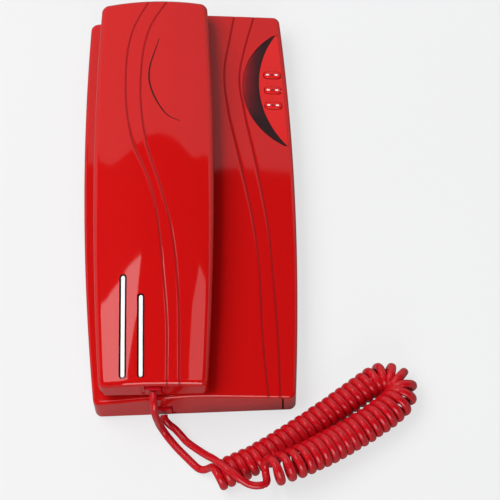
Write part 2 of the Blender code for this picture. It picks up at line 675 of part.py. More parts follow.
def make_side_panel(form):
    """The smoked crescent, the key panel, its three keys, their mat and board, and the lamp."""
    crescent, panel, _ = insert_outlines()
    lens = skin_piece("crescent_lens", crescent, form, 0.0, INSERT_THICK)
    paint(lens, (0.05, 0.01, 0.015), 0.1)
    plate = skin_piece("key_panel", panel, form, 0.0, INSERT_THICK)
    for name, x, y in side_keys():
        outline = pill(x, y, SIDE_KEY_SIZE, SLIDE_GAP)
        combine(plate, prism(name + "_slot", outline, 0.01, 0.03, True))
    paint(plate, RED, 0.2)
    under_skin = roof(SIDE_KEY_X + SIDE_KEY_SIZE[0] / 2) - BASE_WALL
    collar_top = under_skin - 2 * GAP
    for name, x, y in side_keys():
        key = prism(name, pill(x, y, SIDE_KEY_SIZE), collar_top - FLANGE_THICK + 0.1 * MM, 0.03)
        copy = form.copy()
        copy.name = name + "_over"
        copy.location.z += SIDE_KEY_STAND
        CUTTERS.objects.link(copy)
        combine(key, copy, "INTERSECT")
        wider = (SIDE_KEY_SIZE[0], SIDE_KEY_SIZE[1] + 2 * FLANGE)
        collar = prism(name + "_collar", pill(x, y, wider), collar_top - FLANGE_THICK, collar_top, True)
        paint(combine(key, collar, "UNION"), RED, 0.2)
    reach = 1.5 * SIDE_KEY_PITCH + 1 * MM
    width = SIDE_KEY_SIZE[0] / 2
    mat_top = collar_top - FLANGE_THICK - SIDE_KEY_TRAVEL - GAP
    mat = box("function_key_mat", (SIDE_KEY_X - width, SIDE_KEY_Y - reach, mat_top - MAT_THICK),
              (SIDE_KEY_X + width, SIDE_KEY_Y + reach, mat_top))
    paint(mat, GREY, 0.7)
    board_top = mat_top - MAT_THICK - GAP
    lamp_x, lamp_y = CRESCENT_OUTER[0] + 3.6 * MM, CRESCENT_OUTER[1]
    board = box("side_board", (lamp_x - 3 * MM, SIDE_KEY_Y - reach, board_top - BOARD_THICK),
                (SIDE_KEY_X + width, SIDE_KEY_Y + reach, board_top))
    paint(board, (0.03, 0.2, 0.08), 0.5)
    lamp_top = roof(lamp_x) - BASE_WALL - GAP
    paint(rod("ring_lamp", lamp_x, lamp_y, board_top + GAP, lamp_top, 1.5 * MM, sides=16), WHITE, 0.1)


def line_jack_box(grow=0.0):
    """Corners of the line socket's housing in the back."""
    low = (20 * MM - grow, -62 * MM - grow, FOOT_STAND + 0.3 * MM)
    return low, (33 * MM + grow, -48 * MM + grow, 13 * MM)


def make_line_jack():
    low, high = line_jack_box()
    jack = box("line_jack", low, high)
    inside_low = (low[0] + 1.5 * MM, low[1] + 2 * MM, -0.002)
    inside_high = (high[0] - 1.5 * MM, high[1] - 4 * MM, high[2] - 1.5 * MM)
    paint(combine(jack, box("line_socket", inside_low, inside_high, True)), BLACK, 0.4)


def make_ringer():
    """The sounder's drum on the back cover, with a sound hole in its top."""
    floor = FOOT_STAND + BACK_THICK + GAP
    drum = rod("ringer", 28 * MM, -14 * MM, floor, floor + 5 * MM, 14 * MM, sides=32)
    combine(drum, rod("ringer_hole", 28 * MM, -14 * MM, floor + 3 * MM, 0.02, 1.5 * MM, True, 12))
    paint(drum, BLACK, 0.4)


def jack_ends():
    """The base cord jack's two ends along Y."""
    front = -BASE_LENGTH / 2 + 0.4 * MM
    return front, front + PLUG_SIZE[1] + 3 * MM


def make_cord_jack(name, x, z, front, length):
    """A socket housing, open at its front, for the cord's plug."""
    half_x, half_z = PLUG_SIZE[0] / 2, PLUG_SIZE[2] / 2
    wall = JACK_WALL
    jack = box(name, (x - half_x - wall, front, z - half_z - wall),
               (x + half_x + wall, front + length, z + half_z + wall))
    hollow = box(name + "_socket", (x - half_x - GAP, front - 5 * MM, z - half_z - GAP),
                 (x + half_x + GAP, front + length - wall, z + half_z + GAP), True)
    return paint(combine(jack, hollow), BLACK, 0.4)


def make_plug(name, x, z, front):
    """The clear plug in a socket: it stands PLUG_STAND out of the socket's front."""
    half_x, half_z = PLUG_SIZE[0] / 2, PLUG_SIZE[2] / 2
    plug = box(name, (x - half_x, front - PLUG_STAND, z - half_z),
               (x + half_x, front - PLUG_STAND + PLUG_SIZE[1], z + half_z))
    return paint(soften(plug), (0.6, 0.05, 0.05), 0.1)


# ---- handset ---------------------------------------------------------------------------------

def make_handset(form):
    """All the handset's pieces, hung from one empty at the middle of its cradle."""
    seat = bpy.data.objects.new("handset_seat", None)
    seat.location = (HANDSET_X, 0, 0)
    seat.rotation_euler.z = HANDSET_LEAN
    PHONE.objects.link(seat)
    before = set(bpy.data.objects)
    make_outer_shell(form)
    make_inner_shell()
    make_capsules()
    make_bars(form)
    paint(make_weight(), GREY, 0.4, 1.0)
    jack_front = -HANDSET_LENGTH / 2 + 0.4 * MM
    make_cord_jack("handset_jack", 0, HANDSET_JACK_Z, jack_front, PLUG_SIZE[1] + 3 * MM)
    make_plug("handset_plug", 0, HANDSET_JACK_Z, jack_front)
    for side, number in ((1, 1), (-1, 2)):
        make_handset_screw(f"handset_screw_{number}", side * HANDSET_SCREW_Y)
    for obj in set(bpy.data.objects) - before | {form}:
        obj.parent = seat


def make_outer_shell(form):
    shell = form.copy()
    shell.name = "handset_outer_shell"
    shell.data = form.data.copy()
    shell.hide_render = False
    shell.display_type = "TEXTURED"
    PHONE.objects.link(shell)
    hollow = handset_form("handset_hollow", HANDSET_WALL, low=0.01, lower=HANDSET_WALL,
                          corner=2 * MM, rim=1 * MM)
    for side in (1, -1):
        y = side * HANDSET_SCREW_Y
        boss = rod(f"handset_boss_{side}", 0, y, GRIP_Z + INNER_THICK + GAP, 0.05, 3 * MM, True, 16)
        combine(hollow, boss)
    combine(shell, hollow)
    for side in (1, -1):
        y = side * HANDSET_SCREW_Y
        combine(shell, rod(f"handset_pilot_{side}", 0, y, 0.02, 0.0345, 1.2 * MM + GAP, True, 12))
    for name, (x, length) in SLOTS.items():
        outline = slot_outline(x, length, SLOT_WIDTH)
        combine(shell, skin_pocket(f"slot_{name}", outline, form, SLOT_DEPTH))
    half_x = PLUG_SIZE[0] / 2 + JACK_WALL + GAP
    half_z = PLUG_SIZE[2] / 2 + JACK_WALL + GAP
    low = (-half_x, -0.12, HANDSET_JACK_Z - half_z)
    high = (half_x, -HANDSET_LENGTH / 2 + HANDSET_WALL + 1 * MM, HANDSET_JACK_Z + half_z)
    combine(shell, box("handset_cord_opening", low, high, True))
    paint(shell, RED, 0.12)


def slot_outline(x, length, width):
    foot = -HANDSET_LENGTH / 2 + SLOT_FOOT
    return rounded_rectangle(x, foot + length / 2, width, length, width * 0.48, steps=4)


def make_bars(form):
    """The two white bars that lie in the slots."""
    inset = SLOT_WIDTH - BAR_WIDTH
    for name, (x, length) in SLOTS.items():
        foot = -HANDSET_LENGTH / 2 + SLOT_FOOT
        outline = rounded_rectangle(x, foot + length / 2, BAR_WIDTH, length - inset, BAR_WIDTH * 0.48, 3)
        bar = skin_piece(f"inlay_bar_{name}", outline, form, 0.0, SLOT_DEPTH - GAP)
        paint(bar, WHITE, 0.3)


def lobe_outline(side, grow=0.0):
    width, height = (s + 2 * grow for s in LOBE_SIZE)
    return rounded_rectangle(0, side * LOBE_Y, width, height, LOBE_CORNER + grow)


def make_inner_shell():
    """The face side: a plate inside the outer shell's walls, with a hollow lobe at each end."""
    inset = HANDSET_WALL + GAP
    end = HANDSET_LENGTH / 2 - inset - TOP_BOW
    low_end = -HANDSET_LENGTH / 2 + inset
    outline = plan_outline(lambda y: handset_half_width(y) - inset, low_end, end, 2.4 * MM)
    shell = prism("handset_inner_shell", outline, GRIP_Z, GRIP_Z + INNER_THICK)
    for side, name in ((1, "ear"), (-1, "mouth")):
        lobe = prism(name + "_lobe", lobe_outline(side), LOBE_Z, GRIP_Z + 1 * MM, True)
        combine(shell, lobe, "UNION")
        inside = prism(name + "_lobe_hollow", lobe_outline(side, -LOBE_WALL), LOBE_Z + LOBE_WALL, 0.04, True)
        combine(shell, inside)
    for index, (x, y) in enumerate(sound_holes()):
        combine(shell, rod(f"sound_hole_{index}", x, y, 0.005, 0.02, 1.1 * MM, True, 10))
    for side in (1, -1):
        y = side * HANDSET_SCREW_Y
        combine(shell, rod(f"shell_hole_{side}", 0, y, 0.02, 0.032, 1.2 * MM + GAP, True, 12))
    half_x = PLUG_SIZE[0] / 2 + JACK_WALL + GAP
    low = (-half_x, -0.12, HANDSET_JACK_Z - PLUG_SIZE[2] / 2 - JACK_WALL - GAP)
    combine(shell, box("jack_seat", low, (half_x, -HANDSET_LENGTH / 2 + PLUG_SIZE[1] + 4 * MM, 0.04), True))
    paint(shell, RED, 0.2)


def sound_holes():
    """Six holes round a seventh at the ear, and one at the mouth."""
    holes = [(0, LOBE_Y), (0, -LOBE_Y)]
    holes += [(6 * MM * cos(pi / 3 * i), LOBE_Y + 6 * MM * sin(pi / 3 * i)) for i in range(6)]
    return holes


def make_capsules():
    """The receiver on its ring at the ear, and the microphone in its boot at the mouth."""
    floor = LOBE_Z + LOBE_WALL
    ring = rod("receiver_ring", 0, LOBE_Y, floor + GAP, floor + 1.8 * MM, RECEIVER_RADIUS - 1 * MM, sides=32)
    combine(ring, rod("ring_bore", 0, LOBE_Y, 0.01, 0.03, RECEIVER_RADIUS - 4 * MM, True, 32))
    paint(ring, BLACK, 0.8)
    low = floor + 1.8 * MM + GAP
    receiver = rod("receiver_capsule", 0, LOBE_Y, low, low + 8 * MM, RECEIVER_RADIUS, sides=32)
    paint(soften(receiver, 0.6 * MM, 1), GREY, 0.4, 0.5)
    boot = rod("microphone_boot", 0, -LOBE_Y, floor + GAP, floor + 7 * MM, MICROPHONE_RADIUS + 1.6 * MM, sides=24)
    bore = rod("boot_bore", 0, -LOBE_Y, floor + 1.5 * MM, 0.04, MICROPHONE_RADIUS + GAP, True, 24)
    combine(boot, bore)
    combine(boot, rod("boot_port", 0, -LOBE_Y, 0.01, 0.02, 1.1 * MM, True, 10))
    paint(boot, BLACK, 0.8)
    low = floor + 1.5 * MM + GAP
    microphone = rod("microphone_capsule", 0, -LOBE_Y, low, low + 5 * MM, MICROPHONE_RADIUS, sides=24)
    paint(soften(microphone, 0.4 * MM, 1), GREY, 0.3, 1.0)


def make_weight():
    """The steel bar that gives the handset its heft."""
    x, y, z = WEIGHT_SIZE
    low = GRIP_Z + INNER_THICK + GAP
    return soften(box("handset_weight", (-x / 2, -y / 2, low), (x / 2, y / 2, low + z)), 0.6 * MM, 1)


def make_handset_screw(name, y):
    head = rod(name, 0, y, GRIP_Z - 1.4 * MM - GAP, GRIP_Z - GAP, 2.4 * MM, sides=16)
    shank = rod(name + "_shank", 0, y, GRIP_Z - 1 * MM, 33.5 * MM, 1.2 * MM, True, 12)
    paint(combine(head, shank, "UNION"), GREY, 0.3, 1.0)


# ---- cord ------------------------------------------------------------------------------------

def smooth(route, spacing):
    """Evenly spaced points on the Catmull-Rom curve through a route given in millimetres."""
    knots = [Vector(p) * MM for p in route]
    knots = [2 * knots[0] - knots[1]] + knots + [2 * knots[-1] - knots[-2]]
    fine = []
    for a, b, c, d in zip(knots, knots[1:], knots[2:], knots[3:]):
        for step in range(16):
            t = step / 16
            fine.append(0.5 * (2 * b + (c - a) * t + (2 * a - 5 * b + 4 * c - d) * t * t
                               + (3 * b - a - 3 * c + d) * t**3))
    fine.append(knots[-2])
    length = sum((q - p).length for p, q in zip(fine, fine[1:]))
    count = max(round(length / spacing), 2)
    points, gone, target = [fine[0]], 0.0, length / count
    for p, q in zip(fine, fine[1:]):
        span = (q - p).length
        while gone + span >= target * len(points) and len(points) < count:
            points.append(p + (q - p) * ((target * len(points) - gone) / span))
        gone += span
    return points + [fine[-1]]


def make_cord():
    """The two plain leads and the curly part, which is one thick tube of its outer size."""
    paint(tube("handset_lead", smooth(HANDSET_LEAD_ROUTE, 2 * LEAD_RADIUS), LEAD_RADIUS), RED, 0.35)
    paint(tube("base_lead", smooth(BASE_LEAD_ROUTE, 2 * LEAD_RADIUS), LEAD_RADIUS), RED, 0.35)
    paint(tube("curly_cord", smooth(COIL_ROUTE, COIL_RADIUS), COIL_RADIUS), RED, 0.35)


def make_phone():
    form = base_form("base_outer_form")
    make_top_cover(form)
    make_back_cover()
    make_feet()
    make_case_screws()
    make_keypad()
    make_hook()
    make_side_panel(form)
    make_line_jack()
    make_ringer()
    jack_x, jack_z = BASE_JACK
    front, back = jack_ends()
    make_cord_jack("base_jack", jack_x, jack_z, front, back - front)
    make_plug("base_plug", jack_x, jack_z, front)
    make_handset(handset_form("handset_outer_form"))
    make_cord()


make_phone()
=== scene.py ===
"""The looks of a slimline corded telephone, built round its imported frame.

Sizes are in metres. +X is the phone's right, +Y its top end and +Z out of its back plane.
"""

import json

import bpy
import numpy as np
from mathutils import Matrix

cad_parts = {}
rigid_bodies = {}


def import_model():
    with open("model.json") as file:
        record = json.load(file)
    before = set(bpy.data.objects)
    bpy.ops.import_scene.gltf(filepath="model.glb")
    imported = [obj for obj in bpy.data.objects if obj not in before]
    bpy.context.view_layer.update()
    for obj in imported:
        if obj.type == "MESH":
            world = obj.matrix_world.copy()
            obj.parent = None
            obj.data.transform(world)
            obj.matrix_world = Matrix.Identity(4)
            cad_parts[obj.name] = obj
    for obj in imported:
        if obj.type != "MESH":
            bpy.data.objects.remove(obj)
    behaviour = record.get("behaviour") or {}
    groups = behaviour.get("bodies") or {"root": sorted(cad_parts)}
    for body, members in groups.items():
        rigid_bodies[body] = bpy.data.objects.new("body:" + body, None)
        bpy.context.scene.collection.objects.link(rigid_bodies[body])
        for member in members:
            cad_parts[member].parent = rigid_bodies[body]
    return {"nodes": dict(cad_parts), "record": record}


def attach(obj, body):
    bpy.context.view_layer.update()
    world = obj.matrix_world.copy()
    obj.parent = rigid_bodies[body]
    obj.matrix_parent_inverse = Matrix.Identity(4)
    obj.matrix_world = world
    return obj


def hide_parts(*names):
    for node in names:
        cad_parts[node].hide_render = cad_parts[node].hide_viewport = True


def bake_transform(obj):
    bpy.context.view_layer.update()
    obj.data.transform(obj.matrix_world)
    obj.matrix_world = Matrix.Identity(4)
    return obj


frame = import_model()

bl_info = {
    "name": "Slimline Wall Phone",
    "version": (1, 0, 0),
    "blender": (4, 5, 0),
    "location": "View3D > Sidebar > Wall Phone",
    "description": "Builds the shells, keys, cord and studio of a slimline telephone",
    "category": "Add Mesh",
}

MM = 0.001
GAP = 0.3 * MM
OVERHEAD = 50 * MM  # above the whole phone, for tools that cut down to a floor

# Base case, as in the frame
BASE_LENGTH = 200 * MM
BASE_WIDTH = 100 * MM
BASE_SIDE_BOW = 4 * MM
BASE_RIDGE = 22.5 * MM
ROOF_SLOPE = 0.155
ROOF_ROUND = 8 * MM
BASE_CORNER = 3 * MM
BASE_RIM = 1.6 * MM
BASE_WALL = 2.2 * MM
TOP_DRAW_IN = 0.8 * MM  # the visible top end lies this far inside the frame's
FOOT_STAND = 1.2 * MM
BACK_THICK = 2 * MM
CRADLE_CLEARANCE = 2.3 * MM
CRADLE_FLOOR = 13.7 * MM
CRADLE_THICK = 2 * MM
DECK_Z = 17.8 * MM
DECK_SIZE = (45 * MM, 92 * MM)
KEY_PITCH = (13 * MM, 15 * MM)
KEY_SIZE = (9.6 * MM, 7.8 * MM)
KEY_CORNER = 1.8 * MM
KEY_STAND = 1.1 * MM
KEY_ROWS = (("1", "2", "3"), ("4", "5", "6"), ("7", "8", "9"), ("star", "0", "hash"))
LEGENDS = {"star": "*", "hash": "#"}
LEGEND_SIZE = 5.2 * MM
HOOK_Y = 60 * MM
HOOK_SIZE = (8 * MM, 6 * MM)
SLIDE_GAP = 0.35 * MM
BOSSES = ((-43.4 * MM, 33 * MM), (-43.4 * MM, -33 * MM), (19 * MM, 89 * MM), (19 * MM, -89 * MM))
BOSS_RADIUS = 3.4 * MM
PILOT_RADIUS = 1.8 * MM
BASE_JACK = (-14.4 * MM, 6.6 * MM)
PLUG_SIZE = (7.6 * MM, 12 * MM, 6.4 * MM)
JACK_WALL = 1.6 * MM

# Side panel
CRESCENT_TIPS = ((44.4 * MM, 89 * MM), (48 * MM, 27.6 * MM))
CRESCENT_OUTER = (27.4 * MM, 62.8 * MM)
CRESCENT_INNER = (34.9 * MM, 60.6 * MM)
INSERT_THICK = 1.2 * MM
PANEL_INSET = 1.9 * MM
SIDE_KEY_X = 41.6 * MM
SIDE_KEY_Y = 58 * MM
SIDE_KEY_PITCH = 8.3 * MM
SIDE_KEY_SIZE = (8 * MM, 3.4 * MM)
SIDE_KEY_STAND = 0.8 * MM

# Handset
HANDSET_LENGTH = 197 * MM
HANDSET_WIDTH = 56.2 * MM
HANDSET_TOP_WIDTH = 50.6 * MM
HANDSET_FOOT_WIDTH = 49.2 * MM
HANDSET_WIDEST = 12 * MM
HANDSET_X = -15.9 * MM
HANDSET_LEAN = np.radians(-1.14)
HANDSET_RIM_Z = 23.3 * MM
HANDSET_CREST = 39 * MM
CREST_Y = 10 * MM
TOP_FALL = 1.6 * MM
FOOT_FALL = 3 * MM
HANDSET_CROWN = 2.6 * MM
TOP_BOW = 1.4 * MM
TOP_REACH = 1.0 * MM
HANDSET_CORNER = 3 * MM
HANDSET_RIM = 2.6 * MM
HANDSET_WALL = 2 * MM
GRIP_Z = 26.3 * MM
INNER_THICK = 2 * MM
FACE_CORNER = 2.4 * MM
HOLE_RADIUS = 1.1 * MM
HOLE_CIRCLE = 6 * MM
LOBE_Y = 72 * MM
LOBE_SIZE = (40 * MM, 44 * MM)
LOBE_CORNER = 10 * MM
LOBE_Z = 14 * MM
HANDSET_JACK_Z = 29 * MM
HANDSET_SCREW_Y = 41 * MM
HANDSET_PILOT_RADIUS = 1.5 * MM
SLOT_WIDTH = 3.4 * MM
SLOT_DEPTH = 1.3 * MM
BAR_WIDTH = 2 * MM
BAR_CREST = 1.7 * MM
SLOTS = {"long": (-13.5 * MM, 50 * MM), "short": (-5.3 * MM, 40.2 * MM)}
SLOT_FOOT = 3.2 * MM

# The fine moulded lines, as (across, along) points in millimetres that a smooth curve passes
# through. The base's are in its own frame and the handset's about its centre line.
BASE_LINES = (
    ((24.4, 100), (21.4, 85), (18.5, 68), (19.8, 46), (23.7, 24), (29.8, -12), (31.8, -36),
     (32.2, -70), (33.9, -100)),
    ((34.0, 100), (29.0, 82), (25.7, 65), (27.6, 45), (31.0, 25), (36.4, -12), (38.2, -42),
     (39.2, -70), (39.2, -100)),
)
HANDSET_LINES = (
    ((-1.6, 99), (-10.1, 82), (-13.2, 50), (-9.6, 22), (-2.9, 4.6), (1.6, -14), (4.7, -44),
     (6.5, -69), (6.4, -99)),
    ((7.2, 99), (-1.9, 83), (-6.1, 55), (-3.3, 22), (3.0, 0), (7.6, -18), (10.2, -35),
     (11.8, -57), (12.1, -99)),
)
HANDSET_ARC = ((2.6, 77.6), (-2.1, 60), (-0.3, 47.6), (5.8, 36.6), (12.4, 32.6))

# Cord routes in millimetres, as in the frame
HANDSET_LEAD_ROUTE = (
    (-17.9, -100.1, 29.0), (-17.9, -103.4, 28.6), (-17.8, -106.6, 26.0), (-17.4, -108.0, 21.0),
    (-16.9, -107.9, 14.5), (-16.3, -107.9, 8.4), (-14.9, -109.2, 4.4), (-12.6, -112.2, 2.6),
    (-9.0, -116.8, 2.1), (-4.2, -122.2, 2.1), (-0.2, -126.6, 2.2), (2.2, -129.0, 3.0),
    (4.7, -129.8, 4.4),
)
BASE_LEAD_ROUTE = (
    (-14.4, -102.3, 6.4), (-14.1, -104.2, 5.8), (-12.3, -106.1, 4.2), (-9.8, -108.0, 3.4),
    (-7.2, -111.0, 3.3), (-4.2, -114.8, 3.6), (0.5, -119.2, 5.4), (4.6, -123.5, 9.6),
    (8.2, -127.3, 14.3), (12.4, -131.6, 16.7), (16.5, -134.8, 16.8), (20.3, -137.9, 15.2),
    (24.4, -139.9, 12.8), (28.6, -141.0, 11.8),
)
COIL_ROUTE = (
    (8.0, -133.4, 6.9), (19.4, -128.9, 6.9), (30.0, -123.9, 6.9), (47.8, -113.4, 6.9),
    (65.6, -101.6, 6.9), (81.6, -90.8, 6.9), (88.4, -88.9, 6.9), (93.9, -92.4, 6.9),
    (93.8, -98.4, 7.5), (89.2, -104.0, 8.8), (78.8, -111.7, 9.8), (66.6, -118.8, 10.3),
    (54.4, -125.6, 12.2), (42.2, -131.4, 14.4), (31.2, -135.2, 16.4),
)
COIL_START_TURN = np.radians(-118)  # where on the coil the handset lead joins
COIL_END_TURN = np.radians(250)  # where on the coil the base lead leaves
SLACK_TURNS = 0.14  # share of the coil, at its free end, that is pulled a little open
SLACK_OPENING = 0.55  # how much its pitch grows there
# The share of the swell that the coil's radius takes, at shares of the way along it
COIL_SWELL_AT = ((0, 0), (0.45, 0), (0.62, 1), (0.85, 1), (1, 0.5))
TURN_STEPS = 24  # points in one turn of the coil
STRAND_SIDES = 14
LEAD_STEP = 1.2 * MM
LEAD_FADE = 16  # points over which the lead's section turns into the coil's

# Across a fine line, the shares of its width at which the mesh has columns, and those of the spans
# between them that are its floor, which gets painted shade
LINE_COLUMNS = (0.115, 0.23, 0.32, 0.41, 0.5, 0.59, 0.68, 0.77, 0.885, 1.0)
LINE_FLOOR = (3, 4, 5, 6)
LINE_MARGIN = 1.3  # the columns reach this far out, in half widths of the line
LENS_COLUMNS = 12
INSERT_ROWS = 96
FLANGE_HEIGHT = 0.4 * MM
SHARP = 35.0  # degrees at which two faces meet in an edge

# The studio, in metres: heights, and the points that the camera turns about and looks at
CEILING_Z = 1.5
SOFTBOX_Z = 1.49
PHONE_MIDDLE = (0, 0, 0.01)
CAMERA_AIM = (0.02775, -0.02275, 0.01)
FLOOR_REACH = 12

# The ceiling's far edge: how far back it lies, the hump and the dip in it as (across, rise,
# half width), and where, how steeply and how roundly it turns away on the left
CEILING_EDGE = 0.785
EDGE_WAVES = ((-0.08, 0.021, 0.22), (0.31, -0.022, 0.11))
EDGE_TURN = -0.54
EDGE_SLOPE = 0.34
EDGE_ROUND = 0.06

# The outlines of the two softboxes overhead, in millimetres
SOFTBOXES = {
    "left": ((-208, 575), (-330, 558), (-640, 485), (-640, -300), (-420, -300), (-332, 255)),
    "right": ((370, 550), (291, 440), (253, 270), (215, -300), (450, -300), (450, 500)),
}


def linear(code):
    """An sRGB hex colour as linear red, green and blue."""
    value = np.array([int(code[i:i + 2], 16) for i in (0, 2, 4)]) / 255
    return tuple(np.where(value <= 0.04045, value / 12.92, ((value + 0.055) / 1.055) ** 2.4))


def number(name, text, value, **more):
    """A property that holds a number, with its default."""
    return bpy.props.FloatProperty(name=name, description=text, default=value, **more)


def length(name, text, value):
    """A property that holds a length in metres."""
    return number(name, text, value, unit="LENGTH")


def colour(name, text, code):
    """A property that holds a colour, from its sRGB hex code."""
    return bpy.props.FloatVectorProperty(
        name=name, description=text, default=linear(code), subtype="COLOR", min=0, max=1)


class PhoneSizes(bpy.types.PropertyGroup):
    """Sizes of the details that the frame doesn't hold."""

    line_width: length("Line width", "Width of the fine moulded lines", 2.1 * MM)
    line_depth: length("Line depth", "Depth of the fine moulded lines", 0.11 * MM)
    coil_radius: length("Coil radius", "From the coil's centre line to its outside", 7.1 * MM)
    coil_swell: length("Coil swell", "Extra radius of the coil's relaxed front branch", 0.9 * MM)
    coil_pitch: length("Coil pitch", "From one turn of the coil to the next", 3.85 * MM)
    strand_width: length("Strand width", "Width of the cord along the coil", 3.9 * MM)
    strand_height: length("Strand height", "Thickness of the cord across the coil", 3.1 * MM)
    lead_width: length("Lead width", "Thickness of the cord where it isn't coiled", 3.5 * MM)


class PhoneColours(bpy.types.PropertyGroup):
    """Colours of the mouldings and the cord."""

    case: colour("Case", "Glossy red of the shells", "C81111")
    panel: colour("Key panel", "Brighter red beside the crescent", "DC1616")
    cord: colour("Cord", "Red of the cord", "C2101C")
    lens: colour("Lens", "Smoked crescent", "70141C")
    # The rim and end colours are painted light and shade on the crescent: lighter red along its
    # outer edge, and darker towards its tips and its inner edge
    lens_rim_light: colour("Lens rim", "Smoked crescent where it thins at its outer edge", "9C1A22")
    lens_end_shade: colour("Lens ends", "Smoked crescent towards its tips", "2A1216")
    keys: colour("Keys", "Digit keys and inlaid bars", "F4F4F2")
    ink: colour("Ink", "Key legends", "202022")


class StudioSettings(bpy.types.PropertyGroup):
    """The camera and the lamps."""

    azimuth: number("Azimuth", "Camera's turn to the right of the front", np.radians(4.15),
                    subtype="ANGLE")
    elevation: number("Elevation", "Camera's height angle", np.radians(64.52), subtype="ANGLE")
    roll: number("Roll", "Camera's turn about its own axis", np.radians(2.81), subtype="ANGLE")
    distance: length("Distance", "From the camera to the phone's middle", 1.05)
    focal: number("Focal length", "Lens of the camera", 158.9, subtype="DISTANCE_CAMERA")
    left_box: number("Left softbox", "Radiance of the box over the left", 3.2)
    right_box: number("Right softbox", "Radiance of the box over the right", 1.3)
    fill: number("Fill", "Power of the soft overhead fill in watts", 32.0)
    front_fill: number("Front fill", "Power of the lamp at the front in watts", 14.0)
    surround: number("Surround", "Radiance of the white room", 0.58)


def sizes():
    """The sizes that are set in the sidebar."""
    return bpy.context.scene.wallphone_sizes


def colours():
    """The colours that are set in the sidebar."""
    return bpy.context.scene.wallphone_colours


# ---- materials -------------------------------------------------------------------------------

def node(tree, kind, inputs=None, **settings):
    """Adds a node, sets its properties, and fills or links its inputs by name or number."""
    made = tree.nodes.new(kind)
    for key, value in settings.items():
        setattr(made, key, value)
    for key, value in (inputs or {}).items():
        if isinstance(value, bpy.types.NodeSocket):
            tree.links.new(value, made.inputs[key])
        else:
            made.inputs[key].default_value = value
    return made


def new_material(name, roughness, ior=1.5, metallic=0.0, **sockets):
    """A Principled material, its tree and its shader."""
    material = bpy.data.materials.new(name)
    material.use_nodes = True
    tree = material.node_tree
    shader = tree.nodes["Principled BSDF"]
    shader.inputs["Roughness"].default_value = roughness
    shader.inputs["IOR"].default_value = ior
    shader.inputs["Metallic"].default_value = metallic
    for key, value in sockets.items():
        shader.inputs[key.replace("_", " ")].default_value = value
    return material, tree, shader


def patterned(name, tint, roughness, grain, relief, spread=0.04, rough_spread=0.03, **more):
    """A moulded or coated surface: colour, roughness and relief all vary a little.

    grain is the size of its texture in metres and relief its depth.
    """
    material, tree, shader = new_material(name, roughness, **more)
    place = node(tree, "ShaderNodeTexCoord").outputs["Object"]
    fine = node(tree, "ShaderNodeTexNoise", {"Vector": place, "Scale": 1 / grain, "Detail": 3.0})
    broad = node(tree, "ShaderNodeTexNoise", {
        "Vector": place, "Scale": 1 / (40 * MM), "Detail": 2.0})
    dark = tuple(c * (1 - spread) for c in tint)
    light = tuple(min(c * (1 + spread), 1) for c in tint)
    mixed = node(tree, "ShaderNodeMix", {
        "Factor": broad.outputs["Fac"], 6: (*dark, 1), 7: (*light, 1)}, data_type="RGBA")
    rough = node(tree, "ShaderNodeMapRange", {
        "Value": broad.outputs["Fac"], "To Min": max(roughness - rough_spread, 0.01),
        "To Max": roughness + rough_spread})
    bump = node(tree, "ShaderNodeBump", {
        "Height": fine.outputs["Fac"], "Strength": 1.0, "Distance": relief})
    tree.links.new(mixed.outputs[2], shader.inputs["Base Color"])
    tree.links.new(rough.outputs["Result"], shader.inputs["Roughness"])
    tree.links.new(bump.outputs["Normal"], shader.inputs["Normal"])
    return material


def lens_material():
    """Polished smoked acrylic with painted light and shade: the tint is painted darker towards the
    crescent's tips and towards its inner edge (painted shade), and lighter red along its outer
    edge (painted light), by the piece's own attribute "across"."""
    material, tree, shader = new_material("Smoked acrylic, polished", 0.08, ior=1.33)
    place = node(tree, "ShaderNodeTexCoord").outputs["Object"]
    along = node(tree, "ShaderNodeSeparateXYZ", {"Vector": place}).outputs["Y"]
    # The tint is painted darker towards the tips: painted shade
    away = node(tree, "ShaderNodeMath", {0: along, 1: CRESCENT_OUTER[1]}, operation="SUBTRACT")
    away = node(tree, "ShaderNodeMath", {0: away.outputs[0]}, operation="ABSOLUTE")
    share = node(tree, "ShaderNodeMapRange", {
        "Value": away.outputs[0], "From Min": 4 * MM, "From Max": 20 * MM})
    across = node(tree, "ShaderNodeAttribute", attribute_name="across").outputs["Fac"]
    # Lighter red painted along the outer edge: painted light
    rim_light = node(tree, "ShaderNodeMapRange", {
        "Value": across, "From Min": 0.0, "From Max": 0.3, "To Min": 1.0, "To Max": 0.0})
    # Darker tint painted towards the inner edge: painted shade
    inner_shade = node(tree, "ShaderNodeMapRange", {"Value": across, "From Min": 0.3, "From Max": 0.95})
    tone = colours()
    tint = (*tone.lens, 1)
    for factor, other in ((inner_shade, tone.lens_end_shade), (rim_light, tone.lens_rim_light), (share, tone.lens_end_shade)):
        tint = node(tree, "ShaderNodeMix", {
            "Factor": factor.outputs["Result"], 6: tint, 7: (*other, 1)},
            data_type="RGBA").outputs[2]
    haze = node(tree, "ShaderNodeTexNoise", {"Vector": place, "Scale": 1 / (5 * MM)})
    rough = node(tree, "ShaderNodeMapRange", {
        "Value": haze.outputs["Fac"], "To Min": 0.05, "To Max": 0.14})
    tree.links.new(tint, shader.inputs["Base Color"])
    tree.links.new(rough.outputs["Result"], shader.inputs["Roughness"])
    return material


